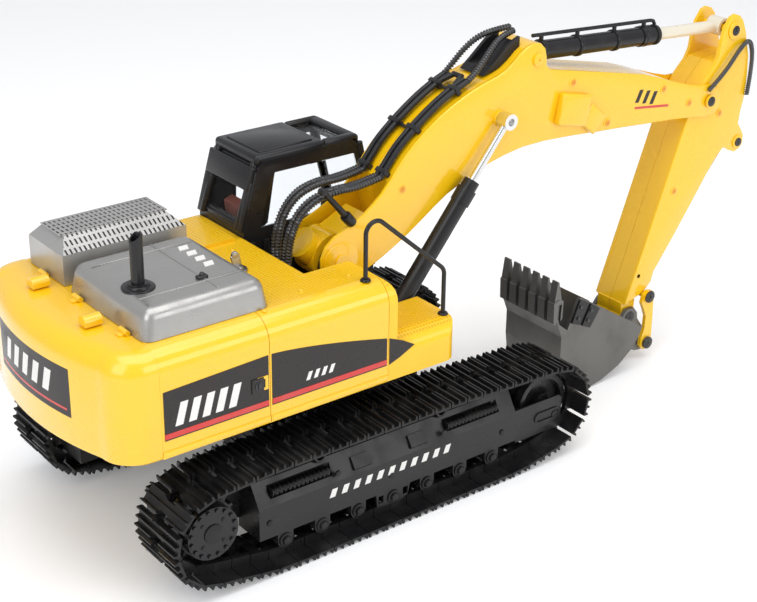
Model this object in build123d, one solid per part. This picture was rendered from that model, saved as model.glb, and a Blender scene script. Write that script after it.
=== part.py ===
"""Crawler excavator toy, about 1:14: undercarriage, slewing house, boom, stick and bucket."""
from build123d import *
from math import atan2, cos, degrees, hypot, pi, radians, sin, sqrt
import os

os.makedirs("parts", exist_ok=True)

# Driving dimensions, in millimetres. Everything is laid out from the slew axis at ground
# level, +X towards the boom, +Y towards the cab, and moved to the origin when it is saved.
ORIGIN_X = 91.25                # from the slew axis to the middle of the whole length
CLEAR = 0.4                     # side gap between parts that move past each other

TRACK_Y = 76.0                  # track centre line
SHOE_WIDTH = 43.0
SHOE_COUNT = 52
PIN_RADIUS = 24.5               # chain pins round the sprocket and the idler
SPROCKET = (-125.8, 38.0)
IDLER = (126.2, 37.0)
CHAIN_PIN_Z = 6.5               # pins of the bottom run above the ground
TOP_PIN_Z = 65.0                # pins of the top run
ROLLER_X = [-77.2 + 26.2 * i for i in range(7)]
ROLLER_Z = 15.0
CARRIER_X = (-48.0, 43.0)
FRAME_OUTER = 88.0              # outer face of the track frames

HOUSE_HALF = 82.0
HOUSE_BOTTOM = 91.0
DECK_Z = 154.0
HOUSE_ROUND = 14.0              # rounding between the sides and the deck
REAR_SEAM_X = -151.0
DOOR_SEAM_X = -82.0
FRONT_SEAM_X = 0.5
DECK_FRONT_X = -31.0
TOOL_BOX_Z = 116.5
TOOL_BOX_X = 54.0
BAY_RIGHT = -42.0               # the boom bay lies between the tool box and the cab
CAB_RIGHT = 22.0
CAB_LEFT = 72.0
WALL = 2.5

BOOM_Y = -10.0                  # middle plane of boom, stick and bucket
BOOM_HALF = 17.5
STICK_HALF = 15.0
BOOM_PIVOT = (6.0, 147.0)
BOOM_EYE = (129.0, 213.0)       # rod eyes of the boom cylinders
BOOM_CYL_FOOT = (38.4, 101.0)
BOOM_CYL_Y = 24.4               # from the middle plane
STICK_PIVOT = (325.0, 187.5)
STICK_CYL_FOOT = (158.8, 245.5)
STICK_EYE = (347.0, 233.8)
BUCKET_CYL_FOOT = (363.0, 149.0)
ROCKER_PIVOT = (271.5, 66.5)
LINK_TOP = (280.0, 49.8)
LINK_LOW = (281.8, 12.6)
BUCKET_PIVOT = (265.5, 36.0)
BUCKET_HALF = 28.0


def save(name, shape):
    """Moves one sub-part to the saved origin and writes its STEP."""
    pieces = [Pos(-ORIGIN_X, 0, 0) * solid for solid in shape.solids()]
    moved = pieces[0] if len(pieces) == 1 else Compound(children=pieces)
    moved.label = name
    export_step(moved, f"parts/{name}.step")
    return moved


def box(x0, x1, y0, y1, z0, z1):
    corner = Location((min(x0, x1), min(y0, y1), min(z0, z1)))
    low = (Align.MIN, Align.MIN, Align.MIN)
    return corner * Box(abs(x1 - x0), abs(y1 - y0), abs(z1 - z0), align=low)


def rod(start, end, radius):
    """A round bar between two points."""
    start, end = Vector(*start), Vector(*end)
    plane = Plane(origin=start, z_dir=(end - start).normalized())
    return plane * Cylinder(radius, (end - start).length, align=(Align.CENTER, Align.CENTER, Align.MIN))


def rod_y(at, y0, y1, radius):
    """A round bar across the machine at (x, z)."""
    return rod((at[0], min(y0, y1), at[1]), (at[0], max(y0, y1), at[1]), radius)


def tube(start, end, outer, inner):
    return rod(start, end, outer) - rod(start, end, inner)


def slab(outline, y0, y1):
    """An (x, z) outline, points or a face, made a plate from y0 to y1."""
    face = flat(outline) if isinstance(outline, list) else outline
    low, high = min(y0, y1), max(y0, y1)
    return Pos(0, low, 0) * extrude(face, amount=high - low, dir=(0, 1, 0))


def flat(points):
    """A face in the XZ plane at y = 0 through (x, z) points."""
    return make_face(Polyline(*[(x, 0, z) for x, z in points], close=True))


def plan(points, z0, z1):
    """A plan outline of (x, y) points made a solid from z0 to z1."""
    face = make_face(Polyline(*[(x, y, z0) for x, y in points], close=True))
    return extrude(face, amount=z1 - z0, dir=(0, 0, 1))


def section(points, x0, x1):
    """A cross-section of (y, z) points made a solid from x0 to x1."""
    face = make_face(Polyline(*[(x0, y, z) for y, z in points], close=True))
    return extrude(face, amount=x1 - x0, dir=(1, 0, 0))


def disc(at, radius):
    """A round face in the XZ plane."""
    return Location((at[0], 0, at[1])) * make_face(Edge.make_circle(radius, Plane.XZ))


def along(a, b, distance, side=0.0):
    """The point at a distance from a towards b, and off to the left of that line."""
    length = hypot(b[0] - a[0], b[1] - a[1])
    ux, uz = (b[0] - a[0]) / length, (b[1] - a[1]) / length
    return (a[0] + ux * distance - uz * side, a[1] + uz * distance + ux * side)


def mirror_y(shape):
    return mirror(shape, about=Plane.XZ)


def rounded_top(half, top, radius, low, steps=8):
    """(y, z) points of the right side of the house: upright, round shoulder, flat top."""
    centre = (-half + radius, top - radius)
    turns = [pi - pi / 2 * i / steps for i in range(steps + 1)]
    shoulder = [(centre[0] + radius * cos(t), centre[1] + radius * sin(t)) for t in turns]
    return [(-half, low)] + shoulder


# ---------------------------------------------------------------- tracks

def belt(circles):
    """Lines and arcs of a belt round circles (x, z, r) that are given clockwise."""
    count = len(circles)
    touch = []
    for i in range(count):
        (x0, z0, r0), (x1, z1, r1) = circles[i], circles[(i + 1) % count]
        length = hypot(x1 - x0, z1 - z0)
        heading = atan2(z1 - z0, x1 - x0)
        normal = heading + pi / 2 - atan2(r1 - r0, sqrt(length ** 2 - (r1 - r0) ** 2)) * -1
        touch.append(((x0 + r0 * cos(normal), z0 + r0 * sin(normal)),
                      (x1 + r1 * cos(normal), z1 + r1 * sin(normal)), normal))
    pieces = []
    for i in range(count):
        start, end, normal = touch[i]
        pieces.append(("line", start, end, normal))
        x, z, r = circles[(i + 1) % count]
        turn = (normal - touch[(i + 1) % count][2]) % (2 * pi)
        pieces.append(("arc", (x, z), r, normal, turn))
    return pieces


def belt_point(pieces, distance):
    """Place and outward direction on a belt at a distance along it."""
    for piece in pieces:
        if piece[0] == "line":
            _, start, end, normal = piece
            length = hypot(end[0] - start[0], end[1] - start[1])
            if distance <= length:
                part = distance / length
                return (start[0] + (end[0] - start[0]) * part,
                        start[1] + (end[1] - start[1]) * part), normal
        else:
            _, centre, r, normal, turn = piece
            length = r * turn
            if distance <= length:
                angle = normal - distance / r
                return (centre[0] + r * cos(angle), centre[1] + r * sin(angle)), angle
        distance -= length
    return belt_point(pieces, 0.0)


def belt_length(pieces):
    lengths = []
    for piece in pieces:
        if piece[0] == "line":
            lengths.append(hypot(piece[2][0] - piece[1][0], piece[2][1] - piece[1][1]))
        else:
            lengths.append(piece[2] * piece[4])
    return sum(lengths)


BEND = 4.0                      # the chain's bends over the outermost rollers
CHAIN = belt([
    (SPROCKET[0], SPROCKET[1], PIN_RADIUS),
    (-94.0, TOP_PIN_Z - BEND, BEND),
    (46.0, TOP_PIN_Z - BEND, BEND),
    (IDLER[0], IDLER[1], PIN_RADIUS),
    (97.0, CHAIN_PIN_Z + BEND, BEND),
    (-84.0, CHAIN_PIN_Z + BEND, BEND),
])
PITCH = belt_length(CHAIN) / SHOE_COUNT
SHOE_LENGTH = PITCH - 0.6
LINK_HALF_HEIGHT = 2.8
PLATE = 1.4
GROUSER = 2.3


def shoe():
    """One track shoe, centred on its link, outward is +Z: a plate with three grousers."""
    half = SHOE_LENGTH / 2
    base = LINK_HALF_HEIGHT
    top, tip = base + PLATE, base + PLATE + GROUSER
    outline = [(-half, base), (half, base)]
    for centre in (half - 0.9, 0.0, -half + 0.9):
        outline += [(centre + 0.9, top), (centre + 0.5, tip), (centre - 0.5, tip), (centre - 0.9, top)]
    plate = slab(outline, -SHOE_WIDTH / 2, SHOE_WIDTH / 2)
    for end in (-1, 1):
        plate -= box(end * half, end * (half - 2.6), -4.2, 4.2, base - 1, tip + 1)
    return plate


def link():
    """One chain link under its shoe: two side bars joined by a raised block."""
    half = PITCH / 2 - 0.25
    bars = box(-half, half, -9.0, -5.8, -LINK_HALF_HEIGHT, LINK_HALF_HEIGHT)
    bars += box(-half, half, 5.8, 9.0, -LINK_HALF_HEIGHT, LINK_HALF_HEIGHT)
    return bars + box(-3.4, 3.4, -5.8, 5.8, -0.8, LINK_HALF_HEIGHT)


def chain(piece, side):
    """Copies of a piece round the whole chain of one track."""
    placed = []
    for i in range(SHOE_COUNT):
        here, _ = belt_point(CHAIN, PITCH * i)
        there, _ = belt_point(CHAIN, PITCH * ((i + 1) % SHOE_COUNT))
        middle = ((here[0] + there[0]) / 2, (here[1] + there[1]) / 2)
        lean = degrees(atan2(there[1] - here[1], there[0] - here[0]))
        placed.append(Location((middle[0], side * TRACK_Y, middle[1]), (0, -lean, 0)) * piece)
    return Compound(children=placed)


def track_frame():
    """Right side frame: a box with a sloped shoulder and seven roller brackets."""
    outer, inner = -FRAME_OUTER, -66.0
    profile = [(inner, 20.0), (outer, 20.0), (outer, 40.5), (outer + 8.5, 54.0), (inner, 54.0)]
    frame = section(profile, -95.0, 99.0)
    frame -= section([(inner + 6, 23.0), (outer + 3, 23.0), (outer + 3, 39.5), (outer + 9.5, 51.0),
                      (inner - 2.5, 51.0), (inner - 2.5, 23.0)], -92.0, 96.0)
    for x in ROLLER_X:
        bracket = rod_y((x, ROLLER_Z), outer, outer + 4.5, 5.4)
        bracket += box(x - 5.4, x + 5.4, outer, outer + 4.5, ROLLER_Z, 21.0)
        inside = rod_y((x, ROLLER_Z), inner, inner - 3.0, 5.0)
        inside += box(x - 5.0, x + 5.0, inner, inner - 3.0, ROLLER_Z, 21.0)
        bore = rod_y((x, ROLLER_Z), outer - 1, inner + 1, 2.0)
        frame += bracket + inside
        frame -= bore
    guard_x = ROLLER_X[3]
    guard = slab([(guard_x - 13, 20.0), (guard_x - 12, 11.5), (guard_x + 4, 9.8), (guard_x + 11, 12.5),
                  (guard_x + 13, 20.0)], outer, outer + 1.6)
    for x in (guard_x - 9.3, guard_x + 9.3):
        guard -= box(x - 1.9, x + 1.9, outer - 1, outer + 2, 13.5, 18.5)
    frame += guard - rod_y((guard_x, ROLLER_Z), outer - 1, outer + 2, 2.0)
    for x in CARRIER_X:
        frame += tube((x, outer + 6, 57.5), (x, inner, 57.5), 4.2, 3.0)
    for x in (-21.0, 21.5):
        frame += section([(outer + 1.6, 42.0), (outer, 44.0), (outer + 4.6, 50.2), (outer + 6.2, 48.5)],
                         x - 6.5, x + 6.5)
    for x in (-64.0, 65.0):
        frame -= Location((x, outer + 3.3, 47.6)) * Box(44.0, 7.0, 7.0)
    frame += box(-118.0, -95.0, inner - 1.0, inner + 2.0, 26.0, 50.0)
    frame += rod_y(SPROCKET, inner - 1.0, inner + 2.0, 16.0)
    frame -= rod_y(SPROCKET, inner - 2.0, inner + 3.0, 4.05)
    return frame


def springs():
    """Four tension springs in the frame shoulders, as closed sleeves of the coil's size."""
    coils = []
    for side in (-1, 1):
        for x in (-64.0, 65.0):
            y, z = side * (FRAME_OUTER - 3.6), 47.9
            coils.append(rod((x - 21.5, y, z), (x + 21.5, y, z), 3.1))
    return Compound(children=coils)


def idler_yoke():
    """Right idler fork: outer plate with a raised-rim slot, inner plate and rear bridge."""
    profile = [(101.0, 17.3), (140.0, 17.3), (140.0, 38.0), (137.5, 40.5), (101.0, 40.5)]
    outer = slab(profile, -FRAME_OUTER + 1.2, -FRAME_OUTER + 2.6)
    inner = slab(profile, -66.5, -63.9)
    bridge = box(99.6, 104.0, -FRAME_OUTER + 1.2, -63.9, 19.0, 40.5)
    slot = SlotCenterToCenter(14.0, 7.4)
    face = Location((127.5, -FRAME_OUTER + 1.2, 29.0)) * (Plane.XZ * slot)
    rim = extrude(face, amount=0.9, dir=(0, -1, 0))
    hollow = Location((127.5, -FRAME_OUTER + 0.2, 29.0)) * (Plane.XZ * SlotCenterToCenter(14.0, 5.4))
    rim -= extrude(hollow, amount=1.9, dir=(0, 1, 0))
    rim -= extrude(hollow, amount=2.0, dir=(0, -1, 0))
    boss = rod_y((134.5, 27.5), -FRAME_OUTER + 0.6, -FRAME_OUTER + 3.0, 2.5)
    axle = rod_y(IDLER, -FRAME_OUTER + 3.0, -66.0, 3.0)
    return outer + inner + bridge + rim + boss + axle


def idler_wheel():
    """Right idler: a dished rim on a bored hub."""
    wheel = rod_y(IDLER, -83.0, -69.0, 19.6)
    for face, depth in ((-83.0, 4.6), (-69.0, -4.6)):
        wheel -= rod_y(IDLER, face, face + depth, 16.2) - rod_y(IDLER, face, face + depth, 6.0)
    groove = rod_y(IDLER, -78.0, -74.0, 19.7) - rod_y(IDLER, -78.0, -74.0, 17.2)
    return wheel - groove - rod_y(IDLER, -84.0, -68.0, 3.05)


def drive_sprocket():
    """Right drive sprocket: toothed ring, outer plate with sixteen pins, axle."""
    teeth = 16
    ring = rod_y(SPROCKET, -81.5, -70.5, 17.6)
    for i in range(teeth):
        turn = 360.0 / teeth * i
        tooth = slab([(-1.7, 16.5), (1.7, 16.5), (0.9, 20.2), (-0.9, 20.2)], -79.0, -73.0)
        ring += Location((SPROCKET[0], 0, SPROCKET[1])) * (Rotation(0, turn, 0) * tooth)
    plate = rod_y(SPROCKET, -88.5, -83.0, 16.4) + rod_y(SPROCKET, -83.0, -81.5, 12.0)
    plate -= rod_y(SPROCKET, -89.5, -86.5, 3.0) - box(SPROCKET[0] - 4, SPROCKET[0] - 1.9, -90, -86,
                                                      SPROCKET[1] - 4, SPROCKET[1] + 4)
    for i in range(teeth):
        turn = radians(360.0 / teeth * (i + 0.5))
        pin = (SPROCKET[0] + 14.3 * cos(turn), SPROCKET[1] + 14.3 * sin(turn))
        plate += rod_y(pin, -89.6, -88.0, 1.3)
    axle = rod_y(SPROCKET, -70.6, -58.0, 4.0)
    return ring + plate + axle


def rollers(side):
    """Seven flanged bottom rollers with their axles."""
    made = []
    for x in ROLLER_X:
        at = (x, ROLLER_Z)
        roller = rod_y(at, -82.4, -69.6, 4.4)
        for low in (-82.4, -72.1):
            roller += rod_y(at, low, low + 2.5, 4.8)
        roller += rod_y(at, -FRAME_OUTER - 0.2, -64.5, 1.95)
        roller += rod_y(at, -FRAME_OUTER - 1.6, -FRAME_OUTER - 0.05, 3.1)
        made.append(roller if side < 0 else mirror_y(roller))
    return Compound(children=made)


def chassis():
    """Centre frame between the tracks: a box, four legs and the travel motor housings."""
    body = plan([(-62, -34), (62, -34), (62, 34), (-62, 34)], 34.0, 66.0)
    body -= plan([(-58, -30), (58, -30), (58, 30), (-58, 30)], 37.0, 62.0)
    body += plan([(-30, -64), (-12, -33), (-40, -33), (-58, -64)], 40.0, 60.0)
    body += plan([(30, -64), (12, -33), (40, -33), (58, -64)], 40.0, 60.0)
    body += mirror_y(plan([(-30, -64), (-12, -33), (-40, -33), (-58, -64)], 40.0, 60.0))
    body += mirror_y(plan([(30, -64), (12, -33), (40, -33), (58, -64)], 40.0, 60.0))
    for side in (-1, 1):
        body += box(-60, 60, side * 60.5, side * 66.0, 30.0, 54.0)
    body += rod((0, 0, 66.0), (0, 0, 74.0), 42.0)
    return body - rod((0, 0, 60.0), (0, 0, 75.0), 12.0)


def travel_motor():
    """Right travel motor and gearbox behind the sprocket."""
    motor = box(-140.0, -104.0, -63.6, -40.0, 26.0, 50.0) + rod_y(SPROCKET, -63.6, -44.0, 13.5)
    motor += box(-104.0, -61.0, -56.0, -42.0, 34.0, 48.0)
    return motor - rod_y(SPROCKET, -64.0, -55.0, 4.05)


def slew_ring():
    """Outer slew bearing ring with the teeth that the slew pinion runs on."""
    ring = rod((0, 0, 74.0), (0, 0, 84.0), 40.0) - rod((0, 0, 73.0), (0, 0, 85.0), 26.0)
    for i in range(36):
        tooth = box(39.0, 42.0, -1.3, 1.3, 75.5, 82.0)
        ring += Rotation(0, 0, 10.0 * i) * tooth
    return ring


# ---------------------------------------------------------------- house

def house_floor():
    """Floor of the house with the turntable under it and the boom bay's end wall."""
    outline = [(-150.6, -78), (0.2, -78), (0.2, -41.7), (50.0, -41.7), (50.0, 20.0), (72.0, 20.0),
               (72.0, 74.0), (62.0, 77.0), (-150.6, 79.0)]
    floor = plan(outline, HOUSE_BOTTOM + 0.6, HOUSE_BOTTOM + 4.6)
    floor += rod((0, 0, 84.4), (0, 0, HOUSE_BOTTOM + 1), 38.0)
    floor += rod((0, 0, 75.0), (0, 0, 85.0), 25.6)
    floor -= rod((0, 0, 70.0), (0, 0, 99.0), 10.0)
    return floor - rod((-54, 0, 80), (-54, 0, 99), 3.0)


def boom_bracket():
    """Two upright cheeks on the floor that hold the boom foot and both cylinder feet."""
    z0 = HOUSE_BOTTOM + 4.6
    cheek = [(-24, z0), (48, z0), (47, 106), (40, 110.5), (31, 110), (19, 128), (16.5, 150),
             (11, 158), (1, 158), (-5, 150), (-10, 128), (-24, 112)]
    body = box(-26, 49, BOOM_Y - 14.8, BOOM_Y + 14.8, z0, z0 + 4)
    for side in (-1, 1):
        low, high = BOOM_Y + side * 11.0, BOOM_Y + side * 14.8
        body += slab(cheek, low, high)
    body -= rod_y(BOOM_PIVOT, BOOM_Y - 20, BOOM_Y + 20, 3.05)
    shaft = rod_y(BOOM_CYL_FOOT, BOOM_Y - BOOM_CYL_Y - 7.0, BOOM_Y + BOOM_CYL_Y + 7.0, 2.6)
    return body + shaft


def side_shell(x0, x1, low, top, radius, wall):
    """Right side panel: upright wall, round shoulder and a lip on the deck."""
    outer = rounded_top(HOUSE_HALF, top, radius, low)
    inner = rounded_top(HOUSE_HALF - wall, top - wall, radius - wall, low)
    return section(outer + inner[::-1], x0, x1)


def door_latch():
    plate = box(-90.5, -83.5, -HOUSE_HALF - 0.5, -HOUSE_HALF + 0.5, 113.0, 121.5)
    return plate - box(-88.6, -85.4, -HOUSE_HALF - 1, -HOUSE_HALF + 0.2, 114.6, 119.9)


def skirt(x0, x1):
    """Double step along the bottom of a side panel."""
    return box(x0, x1, -HOUSE_HALF - 0.6, -HOUSE_HALF + 0.5, HOUSE_BOTTOM + 0.4, HOUSE_BOTTOM + 4.4)


def counterweight():
    """Hollow rear casting: straight flanks, round corners and a bowed back."""
    def shape(inset, low, high):
        half, back = HOUSE_HALF - inset, -187.5 + inset
        flank = Line((REAR_SEAM_X - 0.2, -half), (-156.0, -half))
        corner = ThreePointArc((-156.0, -half), (-170.0 + inset * 0.7, -76.5 + inset * 0.7),
                               (-177.0 + inset, -62.0 + inset * 0.3))
        bow = ThreePointArc((-177.0 + inset, -62.0 + inset * 0.3), (back, 0), (-177.0 + inset, 62.0 - inset * 0.3))
        corner2 = ThreePointArc((-177.0 + inset, 62.0 - inset * 0.3),
                                (-170.0 + inset * 0.7, 76.5 - inset * 0.7), (-156.0, half))
        flank2 = Line((-156.0, half), (REAR_SEAM_X - 0.2, half))
        shut = Line((REAR_SEAM_X - 0.2, half), (REAR_SEAM_X - 0.2, -half))
        outline = make_face(Wire([flank, corner, bow, corner2, flank2, shut]))
        return Pos(0, 0, low) * extrude(outline, amount=high - low, dir=(0, 0, 1))
    block = shape(0.0, HOUSE_BOTTOM, DECK_Z - HOUSE_ROUND)
    steps = 7
    for i in range(steps):
        turn = radians(90.0 * (i + 0.5) / steps)
        low = DECK_Z - HOUSE_ROUND + HOUSE_ROUND * sin(radians(90.0 * i / steps)) - 0.01
        high = DECK_Z - HOUSE_ROUND + HOUSE_ROUND * sin(radians(90.0 * (i + 1) / steps))
        block += shape(HOUSE_ROUND * (1 - cos(turn)), low, high)
    hollow = shape(4.0, HOUSE_BOTTOM + 4.0, DECK_Z - 16.0) & box(-200, REAR_SEAM_X - 4.0, -100, 100, 0, 200)
    return block - hollow


def deck_plate():
    """Deck from the counterweight to the boom bay, and its arm beside the boom."""
    edge = -HOUSE_HALF + HOUSE_ROUND + 0.1
    under = DECK_Z - WALL
    outline = [(-150.8, edge), (FRONT_SEAM_X - 0.2, edge), (FRONT_SEAM_X - 0.2, BAY_RIGHT),
               (DECK_FRONT_X, BAY_RIGHT), (DECK_FRONT_X, -edge), (-150.8, -edge)]
    deck = plan(outline, under, DECK_Z)
    deck += box(DECK_FRONT_X - 2.0, DECK_FRONT_X, BAY_RIGHT - 2.0, 20.0, HOUSE_BOTTOM + 4.6, under + 0.5)
    deck += box(DECK_FRONT_X - 2.0, FRONT_SEAM_X - 0.2, BAY_RIGHT - 2.0, BAY_RIGHT, HOUSE_BOTTOM + 4.6, under + 0.5)
    deck += box(-70.0, DECK_FRONT_X - 6.0, 22.0, 66.0, DECK_Z - 0.5, DECK_Z + 2.0)
    return deck


def tool_box():
    """Front right box: the deck's rounded end wall and the low step in front of it."""
    wall_x, wall_end = FRONT_SEAM_X + 0.2, 7.0
    high = rounded_top(HOUSE_HALF, DECK_Z, HOUSE_ROUND, HOUSE_BOTTOM)
    high += [(BAY_RIGHT, DECK_Z), (BAY_RIGHT, HOUSE_BOTTOM)]
    low = rounded_top(HOUSE_HALF, TOOL_BOX_Z, 11.0, HOUSE_BOTTOM)
    low += [(BAY_RIGHT, TOOL_BOX_Z), (BAY_RIGHT, HOUSE_BOTTOM)]
    bend = [(wall_end - 6.3 + 6.3 * cos(radians(t)), 144.0 + 9.5 * sin(radians(t))) for t in (0, 22, 45, 68, 88)]
    end_wall = slab([(wall_x, HOUSE_BOTTOM), (wall_end, HOUSE_BOTTOM)] + bend, -HOUSE_HALF, BAY_RIGHT)
    end_wall = end_wall & section(high, wall_x, wall_end)
    corner = [(TOOL_BOX_X - 9 + 9 * cos(radians(t)), -HOUSE_HALF + 9 + 9 * sin(radians(t)))
              for t in range(-90, 1, 15)]
    footprint = plan([(wall_x, -HOUSE_HALF)] + corner + [(TOOL_BOX_X, BAY_RIGHT), (wall_x, BAY_RIGHT)],
                     HOUSE_BOTTOM, DECK_Z)
    step = footprint & section(low, wall_x, TOOL_BOX_X)
    step -= box(wall_x + 2, TOOL_BOX_X - 2.5, -HOUSE_HALF + 2.5, BAY_RIGHT - 2, HOUSE_BOTTOM - 1,
                TOOL_BOX_Z - 12.0)
    return end_wall + step


def near_hood():
    """Low engine hood: flat box with bevelled edges, two ribs and hinge knuckles."""
    outline = [(-150.9, -66.0), (-149.0, -68.2), (-81.0, -68.2), (-73.0, -62.0), (-71.0, -54.0),
               (-71.0, 18.0), (-150.9, 18.0)]
    base = DECK_Z + 0.3
    hood = plan(outline, base, base + 17.0)
    top = [e for e in hood.edges() if e.center().Z > base + 16.5]
    hood = chamfer(top, 3.2)
    hood -= plan([(-148.5, -63.5), (-82, -65.0), (-74.5, -54), (-74.5, 15), (-148.5, 15)], base - 1, base + 12.5)
    for y in (-50.0, 2.0):
        hood += box(-147.0, -76.0, y - 0.9, y + 0.9, base + 16.8, base + 18.4)
    return hood


def exhaust():
    """Slant-cut exhaust stub in a ring on the near hood."""
    x, y, z = -135.5, -36.0, DECK_Z + 17.3
    pipe = rod((x, y, z), (x, y, z + 31), 3.7) - rod((x, y, z + 4), (x, y, z + 32), 2.7)
    cut = slab([(x - 12, z + 20), (x + 4.2, z + 33), (x - 12, z + 50)], y - 6, y + 6)
    return pipe - cut + tube((x, y, z), (x, y, z + 3), 5.6, 3.0)


def vent_box():
    """Tall vent hood over the radiator, with sloped shoulders."""
    base = DECK_Z + 0.3
    x0, x1, y0, y1 = -150.5, -70.0, 22.0, 64.0
    profile = [(y0, base), (y1, base), (y1, base + 17), (y1 - 6, base + 25.5), (y0 + 12, base + 25.5),
               (y0, base + 18.5)]
    hood = section(profile, x0, x1)
    side = slab([(x0, base), (x1, base), (x1, base + 18), (x1 - 8, base + 26), (x0 + 8, base + 26),
                 (x0, base + 18)], y0 - 1, y1 + 1)
    hood = hood & side
    return hood - box(x0 + 3, x1 - 3, y0 + 3, y1 - 3, base - 1, base + 15)


def hood_hinges():
    """Hinge knuckles between the counterweight and the hoods."""
    knuckles = [rod((-153.0, y - 4.0, DECK_Z + 1.6), (-153.0, y + 4.0, DECK_Z + 1.6), 1.6)
                for y in (-50.0, 2.0, 43.0)]
    return Compound(children=knuckles)


def slew_motor():
    """Gear motor that turns the house, standing on the floor."""
    motor = rod((-54, 0, HOUSE_BOTTOM + 4.65), (-54, 0, 100), 16.0) + rod((-54, 0, 99), (-54, 0, 138), 13.5)
    return motor - rod((-54, 0, 90), (-54, 0, 98), 5.0)


def slew_pinion():
    """Pinion under the floor that runs round the slew ring."""
    gear = rod((0, 0, 75.5), (0, 0, 82.0), 11.2)
    for i in range(12):
        gear += Rotation(0, 0, 15.0 + 30.0 * i) * box(11.0, 13.4, -1.0, 1.0, 75.5, 82.0)
    return Pos(-54, 0, 0) * (gear + rod((0, 0, 81), (0, 0, 97.5), 2.95))


def battery_pack():
    return box(-142, -76, -34, 34, HOUSE_BOTTOM + 4.65, 123)


def control_board():
    """Receiver board on four posts above the battery."""
    board = box(-144, -78, -41, 41, 134, 135.6)
    for x in (-141, -81):
        for y in (-38, 38):
            board += rod((x, y, HOUSE_BOTTOM + 4.65), (x, y, 134.5), 2.0)
    return board + box(-128, -112, -12, 12, 135.5, 138) + box(-100, -88, 8, 30, 135.5, 140)


def lifting_lugs():
    lugs = []
    for y in (-30.5, 30.5):
        lug = plan([(-167.5, y - 4.0), (-157.0, y - 4.0), (-157.0, y + 4.0), (-167.5, y + 4.0)],
                   DECK_Z + 1.0, DECK_Z + 8.0)
        shape = rod((-167.5, y, DECK_Z + 2.6), (-157.0, y, DECK_Z + 2.6), 4.2)
        lugs.append(lug & shape)
    return Compound(children=lugs)


def hood_latch():
    """Round cap with a folding lever in front of the hood."""
    x, y = -60.0, -16.0
    cap = rod((x, y, DECK_Z + 0.3), (x, y, DECK_Z + 2.8), 6.0)
    return cap + box(x - 1.2, x + 1.2, y - 5.0, y + 5.0, DECK_Z + 2.5, DECK_Z + 7.0)


def handrail():
    """Bent tube from the deck down to the tool box."""
    y = -70.6
    points = [(-8.0, y, DECK_Z + 0.05), (-8.0, y, 196.0), (0.0, y, 196.5), (50.8, y, 146.0),
              (50.8, y, TOOL_BOX_Z + 0.05)]
    path = FilletPolyline(points[0], (-8.0, y, 197.5), points[3], points[4], radius=7.0)
    return sweep(Plane(origin=path @ 0, z_dir=path % 0) * Circle(1.35), path=path)


def cab_outline(inset):
    """(x, z) outline of the cab seen from the side, drawn in by the inset."""
    i = inset
    return [(-30.5 + i, 96.0 + i), (-30.5 + i, 158.0), (-20.0 + i, 194.0), (-15.0 + i, 200.0 - i),
            (51.0 - i, 201.0 - i), (57.5 - i, 196.0 - i), (69.0 - i, 148.0), (69.0 - i, 96.0 + i)]


def cab_shell():
    """Cab body of rounded posts round the window openings."""
    low, high = CAB_RIGHT, CAB_LEFT
    shell = slab(cab_outline(0.0), low, high) - slab(cab_outline(2.2), low + 2.2, high - 2.2)
    rear = [(y, z) for y, z in ((30.0, 163.0), (64.0, 163.0), (62.5, 192.0), (31.5, 192.0))]
    shell -= section(rear, -40.0, -5.0)
    side = [(-18.0, 158.0), (62.0, 158.0), (53.0, 191.5), (-9.0, 191.5)]
    shell -= slab(side, low - 1, low + 3)
    door = [(-6.0, 128.0), (62.0, 128.0), (62.0, 158.0), (53.0, 191.5), (-3.0, 191.5)]
    shell -= slab(door, high - 3, high + 1)
    shell -= section([(27.0, 112.0), (67.0, 112.0), (67.0, 191.0), (27.0, 191.0)], 50.0, 75.0)
    shell -= box(30.0, 50.0, 30.0, 66.0, 196.0, 205.0)
    return shell


def cab_glass():
    """Clear panes of the cab, set inside its openings."""
    panes = [box(30.2, 49.8, 30.2, 65.8, 199.0, 200.0)]
    panes.append(slab([(-17.6, 158.4), (61.6, 158.4), (52.8, 191.1), (-8.8, 191.1)],
                      CAB_RIGHT + 0.5, CAB_RIGHT + 1.5))
    panes.append(slab([(-5.6, 128.4), (61.6, 128.4), (61.6, 158.0), (52.8, 191.1), (-2.7, 191.1)],
                      CAB_LEFT - 1.5, CAB_LEFT - 0.5))
    rear = slab([(-28.6, 163.2), (-27.6, 163.2), (-19.2, 191.8), (-20.2, 191.8)], 31.7, 62.3)
    panes.append(rear)
    front = slab([(67.2, 113.0), (68.2, 113.0), (68.2, 147.8), (58.0, 190.6), (57.0, 190.6), (67.2, 147.6)],
                 27.2, 66.8)
    panes.append(front)
    return Compound(children=panes)


def cab_seat():
    seat = box(-14, 12, 36, 58, 118, 126) + slab([(-16, 124), (-9, 124), (-15, 168), (-21, 166)], 36, 58)
    return seat + box(-12, 8, 40, 54, 98.4, 118)


def cab_console():
    made = [box(-6, 12, 30, 34.5, 98.4, 134), box(-6, 12, 59.5, 64, 98.4, 134)]
    made += [rod((9, 32.2, 134), (11, 32.2, 144), 1.3), rod((9, 61.8, 134), (11, 61.8, 144), 1.3)]
    return Compound(children=made)


# ---------------------------------------------------------------- boom

BOOM_TOP = [(-4, 172), (12, 175), (31, 178), (42.7, 189), (53.3, 202.5), (70, 215.5), (87.3, 226.5),
            (104, 234), (120.5, 239), (136, 243)]
BOOM_TOP_END = [(175, 235.7), (215, 227.5), (257, 218.5), (284, 209.3), (306, 203)]
BOOM_UNDER = [(306, 178.8), (265, 182.5), (217, 186.2), (169, 189.6), (150, 189.3), (135, 187.1),
              (121, 183.9), (101, 176.7), (88, 171), (69, 159), (47, 146), (30, 138)]
BOOM_FOOT = [(16, 133), (-2, 133), (-14, 139), (-18, 150), (-17, 163), (-10, 170)]


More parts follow.
